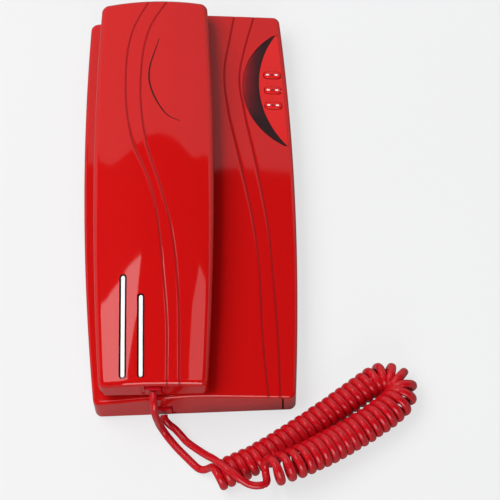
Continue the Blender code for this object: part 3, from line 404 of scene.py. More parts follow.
def make_materials():
    """All the finishes by the record's slot names, with a few more for the new pieces."""
    tone = colours()
    return {
        # ABS from a polished mould: mirror-like, with a faint orange peel
        "red_case": patterned("Gloss ABS, red", tone.case, 0.035, 3 * MM, 0.0006 * MM,
                              spread=0.02, rough_spread=0.01),
        # The same plastic in a brighter batch
        "red_panel": patterned("Gloss ABS, bright red", tone.panel, 0.12, 2 * MM, 0.002 * MM,
                               spread=0.02),
        # Extruded PVC: a soft waxy shine with fine drag marks
        "red_cord": patterned("Flexible PVC, red", tone.cord, 0.22, 0.5 * MM, 0.004 * MM,
                              spread=0.06),
        # Tinted polycarbonate of the modular plugs: hard and glossy
        "plug_plastic": patterned("Polycarbonate, red tint", tone.cord, 0.12, 1 * MM, 0.001 * MM),
        # ABS of the keys and bars from a vapour-blasted mould: satin
        "white_plastic": patterned("Satin ABS, white", tone.keys, 0.32, 0.3 * MM, 0.004 * MM),
        # Tinted acrylic, with painted light and shade: lighter red along its outer edge, darker
        # towards its tips and inner edge
        "smoked_lens": lens_material(),
        # Spark-textured ABS of the sockets and switches
        "black_plastic": patterned("Textured ABS, black", linear("1C1C1E"), 0.5, 0.25 * MM,
                                   0.015 * MM, spread=0.2),
        # Moulded rubber: matt with a powdery grain
        "black_rubber": patterned("Moulded rubber, black", linear("201F1F"), 0.8, 0.3 * MM,
                                  0.02 * MM, spread=0.25),
        # Silicone of the key mats: dull, so it looks soft
        "grey_silicone": patterned("Silicone, grey", linear("84878A"), 0.6, 0.4 * MM, 0.006 * MM),
        # Glass-epoxy board under green solder mask: a lacquer's half gloss
        "board": patterned("Solder mask on glass epoxy", linear("1F5A34"), 0.35, 0.4 * MM,
                           0.008 * MM, spread=0.15),
        # Zinc-plated steel, barrel finished: a bright metal with uneven gloss
        "steel": patterned("Zinc-plated steel", linear("BDBFC4"), 0.32, 0.2 * MM, 0.004 * MM,
                           metallic=1.0, spread=0.1, rough_spread=0.08),
        # Aluminium pressed into the capsules' cans: a soft metal sheen
        "capsule_metal": patterned("Pressed aluminium", linear("C9CACD"), 0.35, 0.3 * MM,
                                   0.004 * MM, metallic=1.0, spread=0.08),
        # Clear epoxy of the lamp: glassy
        "lamp": patterned("Clear epoxy", linear("EFEBE2"), 0.08, 1 * MM, 0.001 * MM),
        # Pad-printed ink of the legends: flat and slightly matt
        "ink": patterned("Pad-printed ink, black", tone.ink, 0.45, 0.2 * MM, 0.002 * MM),
        # White dashes on the side keys: painted highlights, flat and slightly matt
        "painted_highlight": patterned("Painted highlight, white", linear("F2EDEA"), 0.4, 0.2 * MM,
                               0.002 * MM),
        # Painted shade, matt dark maroon, for the handset's slots and its curved line
        "slot_shade": patterned("Painted shade, dark maroon", linear("2C070B"), 0.6, 0.3 * MM,
                                0.004 * MM, ior=1.4),
        # Painted shade on the floors of the narrow grooves, in the same plastic
        "groove_shade": patterned("Gloss ABS, shaded red", linear("9C0C12"), 0.3, 0.5 * MM, 0.002 * MM,
                              ior=1.3),
    }


MATERIALS = {}


def finish_of(name):
    """A material by its slot name. All of them are made at the first call."""
    if not MATERIALS:
        MATERIALS.update(make_materials())
    return MATERIALS[name]


# ---- surfaces --------------------------------------------------------------------------------

def as_mesh(name, points, faces, sharp=SHARP):
    """A mesh object from an array of points and lists of faces, smooth except at sharp edges."""
    mesh = bpy.data.meshes.new(name)
    mesh.from_pydata(np.asarray(points).reshape(-1, 3).tolist(), [], faces)
    mesh.validate()
    mesh.shade_smooth()
    mesh.set_sharp_from_angle(angle=np.radians(sharp))
    obj = bpy.data.objects.new(name, mesh)
    bpy.context.scene.collection.objects.link(obj)
    return obj


def points_of(mesh):
    """A mesh's points as rows of x, y and z."""
    co = np.empty(len(mesh.vertices) * 3)
    mesh.vertices.foreach_get("co", co)
    return co.reshape(-1, 3)


def choose_materials(obj, which):
    """Sets the number of each face's material."""
    obj.data.polygons.foreach_set("material_index", np.asarray(which, np.int32))


def grid_faces(index):
    """Quads over a grid of point numbers, facing up where rows run along Y and columns along X."""
    quads = np.stack([index[:-1, :-1], index[:-1, 1:], index[1:, 1:], index[1:, :-1]], -1)
    return quads.reshape(-1, 4).tolist()


def ring_of(index):
    """The point numbers round a grid, counter-clockwise from above."""
    return np.concatenate([index[0, :-1], index[:-1, -1], index[-1, :0:-1], index[:0:-1, 0]])


def slab(name, x, y, top, low):
    """A closed body between two sheets over the same plan grid, with upright walls.

    The point in row i and column j is (x, y, top) on the upper sheet and (x, y, low) on the lower.
    """
    x, y, top, low = np.broadcast_arrays(x, y, top, low)
    upper = np.stack([x, y, top], -1)
    lower = np.stack([x, y, low], -1)
    index = np.arange(x.size).reshape(x.shape)
    ring = ring_of(index)
    after = np.roll(ring, -1)
    faces = grid_faces(index)
    faces += [face[::-1] for face in grid_faces(index + x.size)]
    faces += np.stack([ring, ring + x.size, after + x.size, after], -1).tolist()
    return as_mesh(name, np.concatenate([upper.reshape(-1, 3), lower.reshape(-1, 3)]), faces)


def prisms(name, outlines, low, high):
    """One mesh of upright prisms, each from a closed outline of (x, y) points."""
    points, faces, start = [], [], 0
    for outline in outlines:
        outline = np.asarray(outline)
        count = len(outline)
        for z in (low, high):
            points.append(np.column_stack([outline, np.full(count, z)]))
        base = start + np.arange(count)
        after = np.roll(base, -1)
        faces.append(base[::-1].tolist())
        faces.append((base + count).tolist())
        faces += np.stack([base, after, after + count, base + count], -1).tolist()
        start += 2 * count
    return as_mesh(name, np.concatenate(points), faces)


def rounded_rectangle(x, y, width, height, corner, steps=8):
    """A rectangle's outline whose corners are quarter circles, counter-clockwise."""
    angle = np.linspace(0, np.pi / 2, steps + 1)
    parts = []
    for turn, (side_x, side_y) in enumerate(((1, 1), (-1, 1), (-1, -1), (1, -1))):
        a = angle + turn * np.pi / 2
        parts.append(np.column_stack([
            x + side_x * (width / 2 - corner) + corner * np.cos(a),
            y + side_y * (height / 2 - corner) + corner * np.sin(a)]))
    return np.concatenate(parts)


def circle(x, y, radius, sides=32):
    """A circle's outline: the middle plus the radius times the cosine and sine of the angle."""
    angle = np.arange(sides) * 2 * np.pi / sides
    return np.column_stack([x + radius * np.cos(angle), y + radius * np.sin(angle)])


def cushion(outline, inset, height, base_height, flange=0.0):
    """A cap over a convex outline: rings that shrink to its middle while they rise.

    Ring k lies at inset[k], as a share of the way to the middle, and at height[k]; the wall goes
    down to base_height, where a flat face closes it. A flange widens its lowest half millimetre
    by a share. Returns points and faces.
    """
    outline = np.asarray(outline)
    middle = outline.mean(0)
    count = len(outline)
    if flange:
        inset = np.concatenate([[-flange, 0], inset])
        collar = base_height + FLANGE_HEIGHT + np.array([0, 0.1]) * MM
        height = np.concatenate([collar, height])
    rings = [np.column_stack([middle + (outline - middle) * (1 + flange),
                              np.full(count, base_height)])]
    rings += [np.column_stack([middle + (outline - middle) * (1 - s), np.full(count, h)])
              for s, h in zip(inset, height)]
    points = np.concatenate(rings + [[[*middle, height[-1]]]])
    index = np.arange(len(rings) * count).reshape(len(rings), count)
    a, b = index[:-1], index[1:]
    faces = np.stack([a, np.roll(a, -1, 1), np.roll(b, -1, 1), b], -1).reshape(-1, 4).tolist()
    last = index[-1]
    faces += np.stack([last, np.roll(last, -1), np.full(count, len(points) - 1)], -1).tolist()
    faces.append(index[0][::-1].tolist())
    return points, faces


def lined(obj, faces=slice(None), choice=1):
    """Gives a shell its gloss and its two materials of painted shade, one for the grooves and one
    for the slots, and some faces one of them.
    """
    for name in ("red_case", "groove_shade", "slot_shade"):
        obj.data.materials.append(finish_of(name))
    which = np.zeros(len(obj.data.polygons))
    which[faces] = choice
    choose_materials(obj, which)
    return obj


def carve(target, tool, operation="DIFFERENCE"):
    """Cuts the tool from the target, or joins it on, and keeps the result as plain mesh."""
    step = target.modifiers.new("Cut", "BOOLEAN")
    step.operation = operation
    step.solver = "EXACT"
    step.object = tool
    bpy.context.view_layer.update()
    graph = bpy.context.evaluated_depsgraph_get()
    result = bpy.data.meshes.new_from_object(target.evaluated_get(graph))
    target.modifiers.clear()
    used = (target.data, tool.data)
    target.data = result
    bpy.data.objects.remove(tool, do_unlink=True)
    for mesh in used:
        bpy.data.meshes.remove(mesh)
    return target


def carve_socket(target, x, end, z, reach):
    """Opens an end wall, at height z, for the socket behind it."""
    grow = JACK_WALL + 0.05 * MM
    half_x, half_z = PLUG_SIZE[0] / 2 + grow, PLUG_SIZE[2] / 2 + grow
    outline = rectangle(x, end, half_x, reach)
    return carve(target, prisms("cord_opening", [outline], z - half_z, z + half_z))


def dress(obj, body, slot, *materials, stands_for=(), weighted=False):
    """Gives a piece its finish, its body and its slot, and hides the nodes it stands for."""
    if not obj.data.materials:
        for material in materials or (slot,):
            obj.data.materials.append(finish_of(material))
    if weighted:
        obj.data.set_sharp_from_angle(angle=np.radians(SHARP))
        smooth = obj.modifiers.new("Weighted normals", "WEIGHTED_NORMAL")
        smooth.keep_sharp = True
    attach(obj, body)
    if stands_for:
        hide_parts(*stands_for)
    return obj


def flowing(points, at):
    """A smooth curve across through (across, along) points: cubic pieces whose slopes at each
    point are the mean of the slopes on its two sides."""
    pairs = np.array(sorted(points, key=lambda p: p[1]), float) * MM
    v, u = pairs[:, 0], pairs[:, 1]
    slopes = np.diff(v) / np.diff(u)
    m = np.concatenate([slopes[:1], (slopes[1:] + slopes[:-1]) / 2, slopes[-1:]])
    at = np.clip(at, u[0], u[-1])
    i = np.clip(np.searchsorted(u, at) - 1, 0, len(u) - 2)
    h = u[i + 1] - u[i]
    t = (at - u[i]) / h
    return ((2 * t**3 - 3 * t**2 + 1) * v[i] + (t**3 - 2 * t**2 + t) * h * m[i]
            + (3 * t**2 - 2 * t**3) * v[i + 1] + (t**3 - t**2) * h * m[i + 1])


def near_edge(corner, rim, steps=8):
    """Distances from an edge at which a round rim and a round corner need points."""
    turn = 1 - np.cos(np.linspace(0, np.pi / 2, steps))
    found = np.unique(np.round(np.concatenate([rim * turn, corner * turn]), 7))
    return np.append(found, found[-1] + 0.15 * MM)


def quarter_drop(radius, distance):
    """How far a round edge has fallen at a distance in from it: a quarter circle."""
    left = radius - np.clip(distance, 0, radius)
    return radius - np.sqrt(np.maximum(radius**2 - left**2, 0))


def case_block(name, half_width, top, low, half_length, corner, rim, lines=(), spacing=2.5 * MM,
               bend=None):
    """A case form: upright walls, a round rim, round corners, a curved top and fine lines in it.

    Rows run along Y and columns across. The columns follow the lines, so that each line has its
    own. With a and b the distances in from the side and from the end, the distance in from the
    outline is the smaller of them, or corner - |(corner - a, corner - b)| in the corners. The
    height is top(x, y), less a quarter circle by that distance, less a raised cosine by the
    distance from each line.
    """
    near = near_edge(corner, rim)
    rows = int(2 * (half_length - near[-1]) / spacing)
    inner = np.linspace(-half_length + near[-1], half_length - near[-1], rows)[1:-1]
    y = np.concatenate([-half_length + near, inner, half_length - near[::-1]])
    full = half_width(y)
    half = full - quarter_drop(corner, half_length - np.abs(y))
    reach = sizes().line_width / 2
    anchors = [-half, -half + near[-1]]
    for line in lines:
        middle = flowing(line, y)
        anchors += [middle - LINE_MARGIN * reach, middle + LINE_MARGIN * reach]
    anchors += [half - near[-1], half]
    x, shaded_floor = [anchors[0][:, None]], []
    for k, (a, b) in enumerate(zip(anchors, anchors[1:])):
        if k == 0:
            share = near[1:] / near[-1]
        elif k == len(anchors) - 2:
            share = 1 - near[-2::-1] / near[-1]
        elif k % 2 == 0:
            share = np.array(LINE_COLUMNS)
        else:
            columns = max(int(np.max(b - a) / spacing), 3)
            share = np.linspace(0, 1, columns + 1)[1:]
        x.append(a[:, None] + (b - a)[:, None] * share)
        is_line = k % 2 == 0 and 0 < k < len(anchors) - 2
        shaded_floor += [is_line and j in LINE_FLOOR for j in range(len(share))]
    x = np.concatenate(x, 1)
    y = np.broadcast_to(y[:, None], x.shape)
    a, b = full[:, None] - np.abs(x), half_length - np.abs(y)
    depth = np.minimum(a, b)
    in_corner = (a < corner) & (b < corner)
    depth = np.where(in_corner, corner - np.hypot(corner - a, corner - b), depth)
    z = top(x, y) - quarter_drop(rim, depth)
    for line in lines:
        middle = flowing(line, y)
        slope = (flowing(line, y + MM) - flowing(line, y - MM)) / (2 * MM)
        off = np.clip((x - middle) / np.sqrt(1 + slope**2) / reach, -1, 1)
        z = z - sizes().line_depth * (1 + np.cos(np.pi * off)) / 2
    block = slab(name, x, bend(x, y) if bend else y, z, low)
    # The faces on each line's floor get the groove material: painted shade
    if lines:
        lined(block, np.flatnonzero(np.tile(shaded_floor, len(y) - 1)))
    return block


def base_half_width(y):
    """The long sides bow out to the middle: half the width less the bow times (2y/length)^2."""
    return BASE_WIDTH / 2 - BASE_SIDE_BOW * (2 * y / BASE_LENGTH) ** 2


def draw_in_top(x, y):
    """Moves the upper half's points down, with the square of the share of the way to the end."""
    return np.where(y > 0, y - TOP_DRAW_IN * (2 * y / BASE_LENGTH) ** 2, y)


def roof(x, y=0.0):
    """Two slopes that meet in a rounded ridge: a hyperbola across, the same at every y."""
    return BASE_RIDGE - ROOF_SLOPE * (np.sqrt(x * x + ROOF_ROUND**2) - ROOF_ROUND)


def handset_half_width(y):
    """Half the width, which falls with the square of the share of the way to either end."""
    half = HANDSET_LENGTH / 2
    up = np.clip((y - HANDSET_WIDEST) / (half - HANDSET_WIDEST), 0, None)
    down = np.clip((HANDSET_WIDEST - y) / (half + HANDSET_WIDEST), 0, None)
    return (HANDSET_WIDTH - (HANDSET_WIDTH - HANDSET_TOP_WIDTH) * up**2
            - (HANDSET_WIDTH - HANDSET_FOOT_WIDTH) * down**2) / 2


def handset_top(x, y):
    """A long arch, square to the top end and cubic to the lower one, less a parabola across."""
    half = HANDSET_LENGTH / 2
    up = np.clip((y - CREST_Y) / (half - CREST_Y), 0, None)
    down = np.clip((CREST_Y - y) / (half + CREST_Y), 0, None)
    crest = HANDSET_CREST - TOP_FALL * up**2 - FOOT_FALL * down**3
    return crest - HANDSET_CROWN * (2 * x / HANDSET_WIDTH) ** 2


def bow_top(x, y):
    """Moves the upper half's points by a parabola across, so that the top end bows out."""
    drop = TOP_BOW * (2 * x / HANDSET_TOP_WIDTH) ** 2 - TOP_REACH
    return np.where(y > 0, y - drop * (2 * y / HANDSET_LENGTH) ** 2, y)


def into_cradle(obj):
    """Turns a piece made about the handset's own centre line into its place on the base."""
    c, s = np.cos(HANDSET_LEAN), np.sin(HANDSET_LEAN)
    x, y, z = points_of(obj.data).T
    turned = np.column_stack([HANDSET_X + x * c - y * s, x * s + y * c, z])
    obj.data.vertices.foreach_set("co", turned.ravel())
    obj.data.update()


def lobe_centre(side):
    """Where a handset lobe sits: side 1 is the ear end and -1 the mouth end."""
    return HANDSET_X - side * LOBE_Y * np.sin(HANDSET_LEAN), side * LOBE_Y * np.cos(HANDSET_LEAN)


def keys():
    """The label and the middle of each digit key, on a grid about the handset's centre line."""
    for row, labels in enumerate(KEY_ROWS):
        for column, label in enumerate(labels):
            yield label, HANDSET_X + (column - 1) * KEY_PITCH[0], (1.5 - row) * KEY_PITCH[1]


def side_keys():
    """The node and the middle of each side key, from the top one down."""
    for index in range(3):
        yield f"function_key_{index + 1}", SIDE_KEY_X, SIDE_KEY_Y + (1 - index) * SIDE_KEY_PITCH


def rectangle(x, y, half_x, half_y):
    """The four corners at half the width and height from the middle, counter-clockwise."""
    return np.array([(x - half_x, y - half_y), (x + half_x, y - half_y),
                     (x + half_x, y + half_y), (x - half_x, y + half_y)])


def pill(x, y, size, grow=0.0):
    """A rounded rectangle with nearly half-round ends, grown by a margin on all sides."""
    width, height = size[0] + 2 * grow, size[1] + 2 * grow
    return rounded_rectangle(x, y, width, height, height * 0.45, steps=6)


def arc_x(tips, through, y):
    """Across position at each height of the circle through two tips and a third point."""
    (ax, ay), (cx, cy) = tips
    bx, by = through
    twice = 2 * (ax * (by - cy) + bx * (cy - ay) + cx * (ay - by))
    a2, b2, c2 = ax * ax + ay * ay, bx * bx + by * by, cx * cx + cy * cy
    x = (a2 * (by - cy) + b2 * (cy - ay) + c2 * (ay - by)) / twice
    y0 = (a2 * (cx - bx) + b2 * (ax - cx) + c2 * (bx - ax)) / twice
    radius = np.hypot(ax - x, ay - y0)
    return x - np.sqrt(np.maximum(radius**2 - (y - y0) ** 2, 0))


def between(name, left, right, y, top, thick, columns=12):
    """A slab between two curves across, over heights y, that follows the surface top(x, y)."""
    share = np.linspace(0, 1, columns + 1)
    x = left[:, None] + (right - left)[:, None] * share
    y = np.broadcast_to(y[:, None], x.shape)
    z = top(x, y)
    return slab(name, x, y, z, z - thick)


# ---- base ------------------------------------------------------------------------------------

def base_cavity():
    """The hollow of the top cover, less the tubs of the cradle and the keypad and the bosses."""
    cavity = case_block(
        "cavity", lambda y: base_half_width(y) - BASE_WALL, lambda x, y: roof(x) - BASE_WALL,
        -5 * MM, BASE_LENGTH / 2 - BASE_WALL, 2 * MM, 1 * MM, spacing=8 * MM)
    tubs = []
    for side in (1, -1):
        x, y = lobe_centre(side)
        width, height = (s + 2 * (CRADLE_CLEARANCE + CRADLE_THICK) for s in LOBE_SIZE)
        tubs.append(rounded_rectangle(x, y, width, height, LOBE_CORNER))
    carve(cavity, prisms("tubs", tubs, CRADLE_FLOOR - CRADLE_THICK, OVERHEAD))
    tray = rectangle(HANDSET_X, 0, *(s / 2 + CRADLE_THICK for s in DECK_SIZE))
    carve(cavity, prisms("deck", [tray], DECK_Z - CRADLE_THICK, OVERHEAD))
    posts = [circle(x, y, BOSS_RADIUS, 24) for x, y in BOSSES]
    return carve(cavity, prisms("bosses", posts, FOOT_STAND + BACK_THICK + GAP, OVERHEAD))


def insert_rows(past=0.0):
    """Heights from the crescent's lower tip to its upper one, or as far past both of them."""
    low, high = CRESCENT_TIPS[1][1] - past, CRESCENT_TIPS[0][1] + past
    return np.linspace(low, high, INSERT_ROWS + 1)[1:-1]


class WALLPHONE_OT_base_cover(bpy.types.Operator):
    """Build the base's glossy top cover with its fine lines, cradle wells and key deck"""

    bl_idname = "wallphone.base_cover"
    bl_label = "Base cover"

    def execute(self, context):
        cover = case_block(
            "base_cover_shell", base_half_width, roof, FOOT_STAND, BASE_LENGTH / 2,
            BASE_CORNER, BASE_RIM, BASE_LINES, bend=draw_in_top)
        carve(cover, base_cavity())
        wells = []
        for side in (1, -1):
            x, y = lobe_centre(side)
            width, height = (s + 2 * CRADLE_CLEARANCE for s in LOBE_SIZE)
            corner = LOBE_CORNER + CRADLE_CLEARANCE / 2
            wells.append(rounded_rectangle(x, y, width, height, corner, 12))
        carve(cover, prisms("wells", wells, CRADLE_FLOOR, OVERHEAD))
        deck = rounded_rectangle(HANDSET_X, 0, *DECK_SIZE, 2 * MM)
        carve(cover, prisms("deck", [deck], DECK_Z, OVERHEAD))
        holes = [rounded_rectangle(x, y, KEY_SIZE[0] + 2 * SLIDE_GAP, KEY_SIZE[1] + 2 * SLIDE_GAP,
                                   KEY_CORNER) for _, x, y in keys()]
        holes += [pill(x, y, SIDE_KEY_SIZE, SLIDE_GAP) for _, x, y in side_keys()]
        holes.append(rectangle(lobe_centre(1)[0], HOOK_Y, *(s / 2 + SLIDE_GAP for s in HOOK_SIZE)))
        holes.append(rounded_rectangle(CRESCENT_OUTER[0] + 3.6 * MM, CRESCENT_OUTER[1], 3.4 * MM,
                                       16 * MM, 1.6 * MM))
        carve(cover, prisms("holes", holes, 8 * MM, 24 * MM))
        y = insert_rows(0.5 * GAP)
        tips = tuple((tip[0], tip[1] + side * GAP) for tip, side in zip(CRESCENT_TIPS, (1, -1)))
        left = arc_x(tips, (CRESCENT_OUTER[0] - 0.6 * GAP, CRESCENT_OUTER[1]), y)
        right = base_half_width(y) - PANEL_INSET + 0.3 * GAP
        carve(cover, between("pocket", left, np.maximum(right, left + GAP), y,
                             lambda x, y: roof(x) + 2 * MM, INSERT_THICK + GAP + 2 * MM))
        carve_socket(cover, BASE_JACK[0], -BASE_LENGTH / 2, BASE_JACK[1], 3.5 * MM)
        pilots = [circle(x, y, PILOT_RADIUS, 20) for x, y in BOSSES]
        carve(cover, prisms("pilots", pilots, -2 * MM, 13 * MM))
        dress(cover, "base", "red_case", stands_for=["base_top_cover"], weighted=True)
        return {"FINISHED"}


class WALLPHONE_OT_side_panel(bpy.types.Operator):
    """Build the smoked crescent, the key panel and its three keys"""

    bl_idname = "wallphone.side_panel"
    bl_label = "Side panel"

    def execute(self, context):
        y = insert_rows()
        outer = arc_x(CRESCENT_TIPS, CRESCENT_OUTER, y)
        inner = np.maximum(arc_x(CRESCENT_TIPS, CRESCENT_INNER, y), outer + 0.08 * MM)
        lens = between("crescent_shell", outer, inner, y, lambda x, y: roof(x) - 0.1 * MM,
                       INSERT_THICK, LENS_COLUMNS)
        across = np.tile(np.linspace(0, 1, LENS_COLUMNS + 1), 2 * len(y)).astype(np.float32)
        lens.data.attributes.new("across", "FLOAT", "POINT").data.foreach_set("value", across)
        dress(lens, "base", "smoked_lens", stands_for=["crescent_lens"], weighted=True)
        beside = (CRESCENT_INNER[0] + 0.15 * MM, CRESCENT_INNER[1])
        y = insert_rows(-0.1 * MM)
        left = arc_x(CRESCENT_TIPS, beside, y)
        right = np.maximum(base_half_width(y) - PANEL_INSET, left + 0.08 * MM)
        panel = between("key_panel_shell", left, right, y, roof, INSERT_THICK)
        slots = [pill(x, y, SIDE_KEY_SIZE, SLIDE_GAP) for _, x, y in side_keys()]
        carve(panel, prisms("slots", slots, 8 * MM, 30 * MM))
        dress(panel, "base", "red_case", "red_panel", stands_for=["key_panel"], weighted=True)
        for name, x, y in side_keys():
            self.side_key(name, x, y)
        return {"FINISHED"}

    def side_key(self, name, x, y):
        """A pill cushion that follows the roof, with three dashes on top: a white one of painted
        highlight between two of the panel's brighter red.
        """
        inset = np.array([0, 0.03, 0.09, 0.2, 0.4, 0.75])
        height = np.array([0.35, 0.58, 0.74, 0.8, 0.86, 0.9]) * SIDE_KEY_STAND
        points, faces = cushion(pill(x, y, SIDE_KEY_SIZE), inset, height, -3 * MM, 0.08)
        points[:, 2] += roof(points[:, 0])
        which = [0] * len(faces)
        # The middle dash takes material 2, the white painted highlight; the outer two take
        # material 1, the panel's brighter red
        for shift, choice in ((-0.27, 1), (-0.02, 2), (0.24, 1)):
            mark = pill(x + shift * SIDE_KEY_SIZE[0], y, (1.6 * MM, 0.85 * MM))
            rise = 0.9 * SIDE_KEY_STAND
            more, sides = cushion(mark, [0.2], [rise + 0.03 * MM], rise - 0.05 * MM)
            more[:, 2] += roof(more[:, 0])
            faces += [[i + len(points) for i in face] for face in sides]
            which += [choice] * len(sides)
            points = np.concatenate([points, more])
        key = as_mesh(name + "_cap", points, faces)
        choose_materials(key, which)
        dress(key, name, "red_case", "red_panel", "painted_highlight", "ink", stands_for=[name])


class WALLPHONE_OT_keypad(bpy.types.Operator):
    """Build the twelve dished digit keys with their legends"""

    bl_idname = "wallphone.keypad"
    bl_label = "Keypad"

    def execute(self, context):
        for label, x, y in keys():
            outline = rounded_rectangle(x, y, *KEY_SIZE, KEY_CORNER)
            inset = np.array([0, 0.02, 0.06, 0.13, 0.2, 0.4, 0.7])
            height = DECK_Z + KEY_STAND - np.array([0.55, 0.22, 0.05, 0, 0.04, 0.16, 0.26]) * MM
            points, faces = cushion(outline, inset, height, DECK_Z - 3.2 * MM, 0.1)
            text = LEGENDS.get(label, label)
            key = self.with_legend(f"digit_cap_{label}", points, faces, text, x, y, height[-1])
            node_name = f"digit_key_{label}"
            dress(key, node_name, "white_plastic", "white_plastic", "ink", stands_for=[node_name])
        return {"FINISHED"}

    def with_legend(self, name, points, faces, text, x, y, z):
        """Joins a flat printed character, as a thin extruded mesh, to the cap's points."""
        curve = bpy.data.curves.new(name, "FONT")
        curve.body = text
        curve.size = LEGEND_SIZE
        curve.extrude = 0.06 * MM
        curve.resolution_u = 4
        curve.align_x = curve.align_y = "CENTER"
        guide = bpy.data.objects.new(name, curve)
        bpy.context.scene.collection.objects.link(guide)
        bpy.context.view_layer.update()
        graph = bpy.context.evaluated_depsgraph_get()
        ink = bpy.data.meshes.new_from_object(guide.evaluated_get(graph))
        bpy.data.objects.remove(guide, do_unlink=True)
        bpy.data.curves.remove(curve)
        printed = points_of(ink) + (x, y, z + 0.05 * MM)
        start, cap_faces = len(points), len(faces)
        faces = faces + [[i + start for i in face.vertices] for face in ink.polygons]
        bpy.data.meshes.remove(ink)
        key = as_mesh(name, np.concatenate([points, printed]), faces)
        choose_materials(key, np.arange(len(key.data.polygons)) >= cap_faces)
        return key


# ---- handset ---------------------------------------------------------------------------------

def handset_block(name, inset, low, lower, corner, rim, lines=(), spacing=2.2 * MM):
    """The handset's form, drawn in by an inset at its sides and by lower at its top."""
    return case_block(
        name, lambda y: handset_half_width(y) - inset, lambda x, y: handset_top(x, y) - lower,
        low, HANDSET_LENGTH / 2 - inset, corner, rim, lines, spacing, bow_top)


def slot_edges(x, length, width, rows=30):
    """A slot's two sides over its length, with round ends: half a circle at each."""
    foot = -HANDSET_LENGTH / 2 + SLOT_FOOT
    radius = width / 2
    turn = radius * (1 - np.cos(np.linspace(0.12, np.pi / 2, 8)))
    inner = np.linspace(radius, length - radius, rows)[1:-1]
    along = np.concatenate([turn, inner, length - turn[::-1]])
    depth = np.minimum(along, length - along)
    half = np.sqrt(np.maximum(radius**2 - (radius - np.minimum(depth, radius)) ** 2, 0))
    return x - half, x + half, foot + along


class WALLPHONE_OT_handset_shell(bpy.types.Operator):
    """Build the handset's outer shell, its inlaid bars and its curved line"""

    bl_idname = "wallphone.handset_shell"
    bl_label = "Handset shell"

    def execute(self, context):
        shell = handset_block("handset_shell", 0, HANDSET_RIM_Z, 0, HANDSET_CORNER, HANDSET_RIM,
                              HANDSET_LINES)
        hollow = handset_block("hollow", HANDSET_WALL, 10 * MM, HANDSET_WALL, 2 * MM, 1 * MM,
                               spacing=8 * MM)
        bosses = [circle(0, side * HANDSET_SCREW_Y, 3 * MM, 24) for side in (1, -1)]
        carve(hollow, prisms("bosses", bosses, GRIP_Z + INNER_THICK + GAP, OVERHEAD))
        carve(shell, hollow)
        pilots = [circle(0, side * HANDSET_SCREW_Y, HANDSET_PILOT_RADIUS, 16) for side in (1, -1)]
        carve(shell, prisms("pilots", pilots, 20 * MM, 34.5 * MM))
        carve_socket(shell, 0, -HANDSET_LENGTH / 2, HANDSET_JACK_Z, 3 * MM)
        for name, (x, length_of) in SLOTS.items():
            left, right, y = slot_edges(x, length_of, SLOT_WIDTH)
            # The slot's cut faces take the slot shade material: painted shade on its walls and
            # floor
            carve(shell, lined(between(
                "slot", left, right, y, lambda x, y: handset_top(x, y) + 2 * MM,
                SLOT_DEPTH + 2 * MM, 6), choice=2))
        into_cradle(shell)
        dress(shell, "handset", "red_case", stands_for=["handset_outer_shell"], weighted=True)
        self.bars()
        self.curved_line()
        return {"FINISHED"}

    def bars(self):
        """White bars that lie in the slots, with a border of shadow round them."""
        inset = SLOT_WIDTH - BAR_WIDTH
        for name, (x, length_of) in SLOTS.items():
            left, right, y = slot_edges(x, length_of - inset, BAR_CREST)
            bar = between(f"bar_{name}", left, right, y + inset / 2,
                          lambda x, y: handset_top(x, y) - 0.35 * MM, SLOT_DEPTH - GAP, 6)
            into_cradle(bar)
            dress(bar, "handset", "white_plastic", stands_for=[f"inlay_bar_{name}"])

    def curved_line(self):
        """A ribbon along a smooth curve on the shell: its centre line plus a width that swells
        with the sine of the share of the way along."""
        route = np.column_stack([np.array(HANDSET_ARC), np.zeros(len(HANDSET_ARC))])
        line = even_curve(route, 1.0 * MM)[:, :2]
        along = np.gradient(line, axis=0)
        along /= np.linalg.norm(along, axis=1)[:, None]
        side = np.column_stack([along[:, 1], -along[:, 0]])
        width = (0.12 + 0.24 * np.sin(np.linspace(0.05, np.pi - 0.05, len(line)))) * MM
        share = np.linspace(-1, 1, 5)
        plan = line[:, None] + side[:, None] * (width[:, None] * share)[..., None]
        z = handset_top(plan[..., 0], plan[..., 1])
        ribbon = slab("shell_curved_line", plan[..., 0], plan[..., 1], z + 0.03 * MM, z - 0.1 * MM)
        into_cradle(ribbon)
        dress(ribbon, "handset", "red_case", "slot_shade")


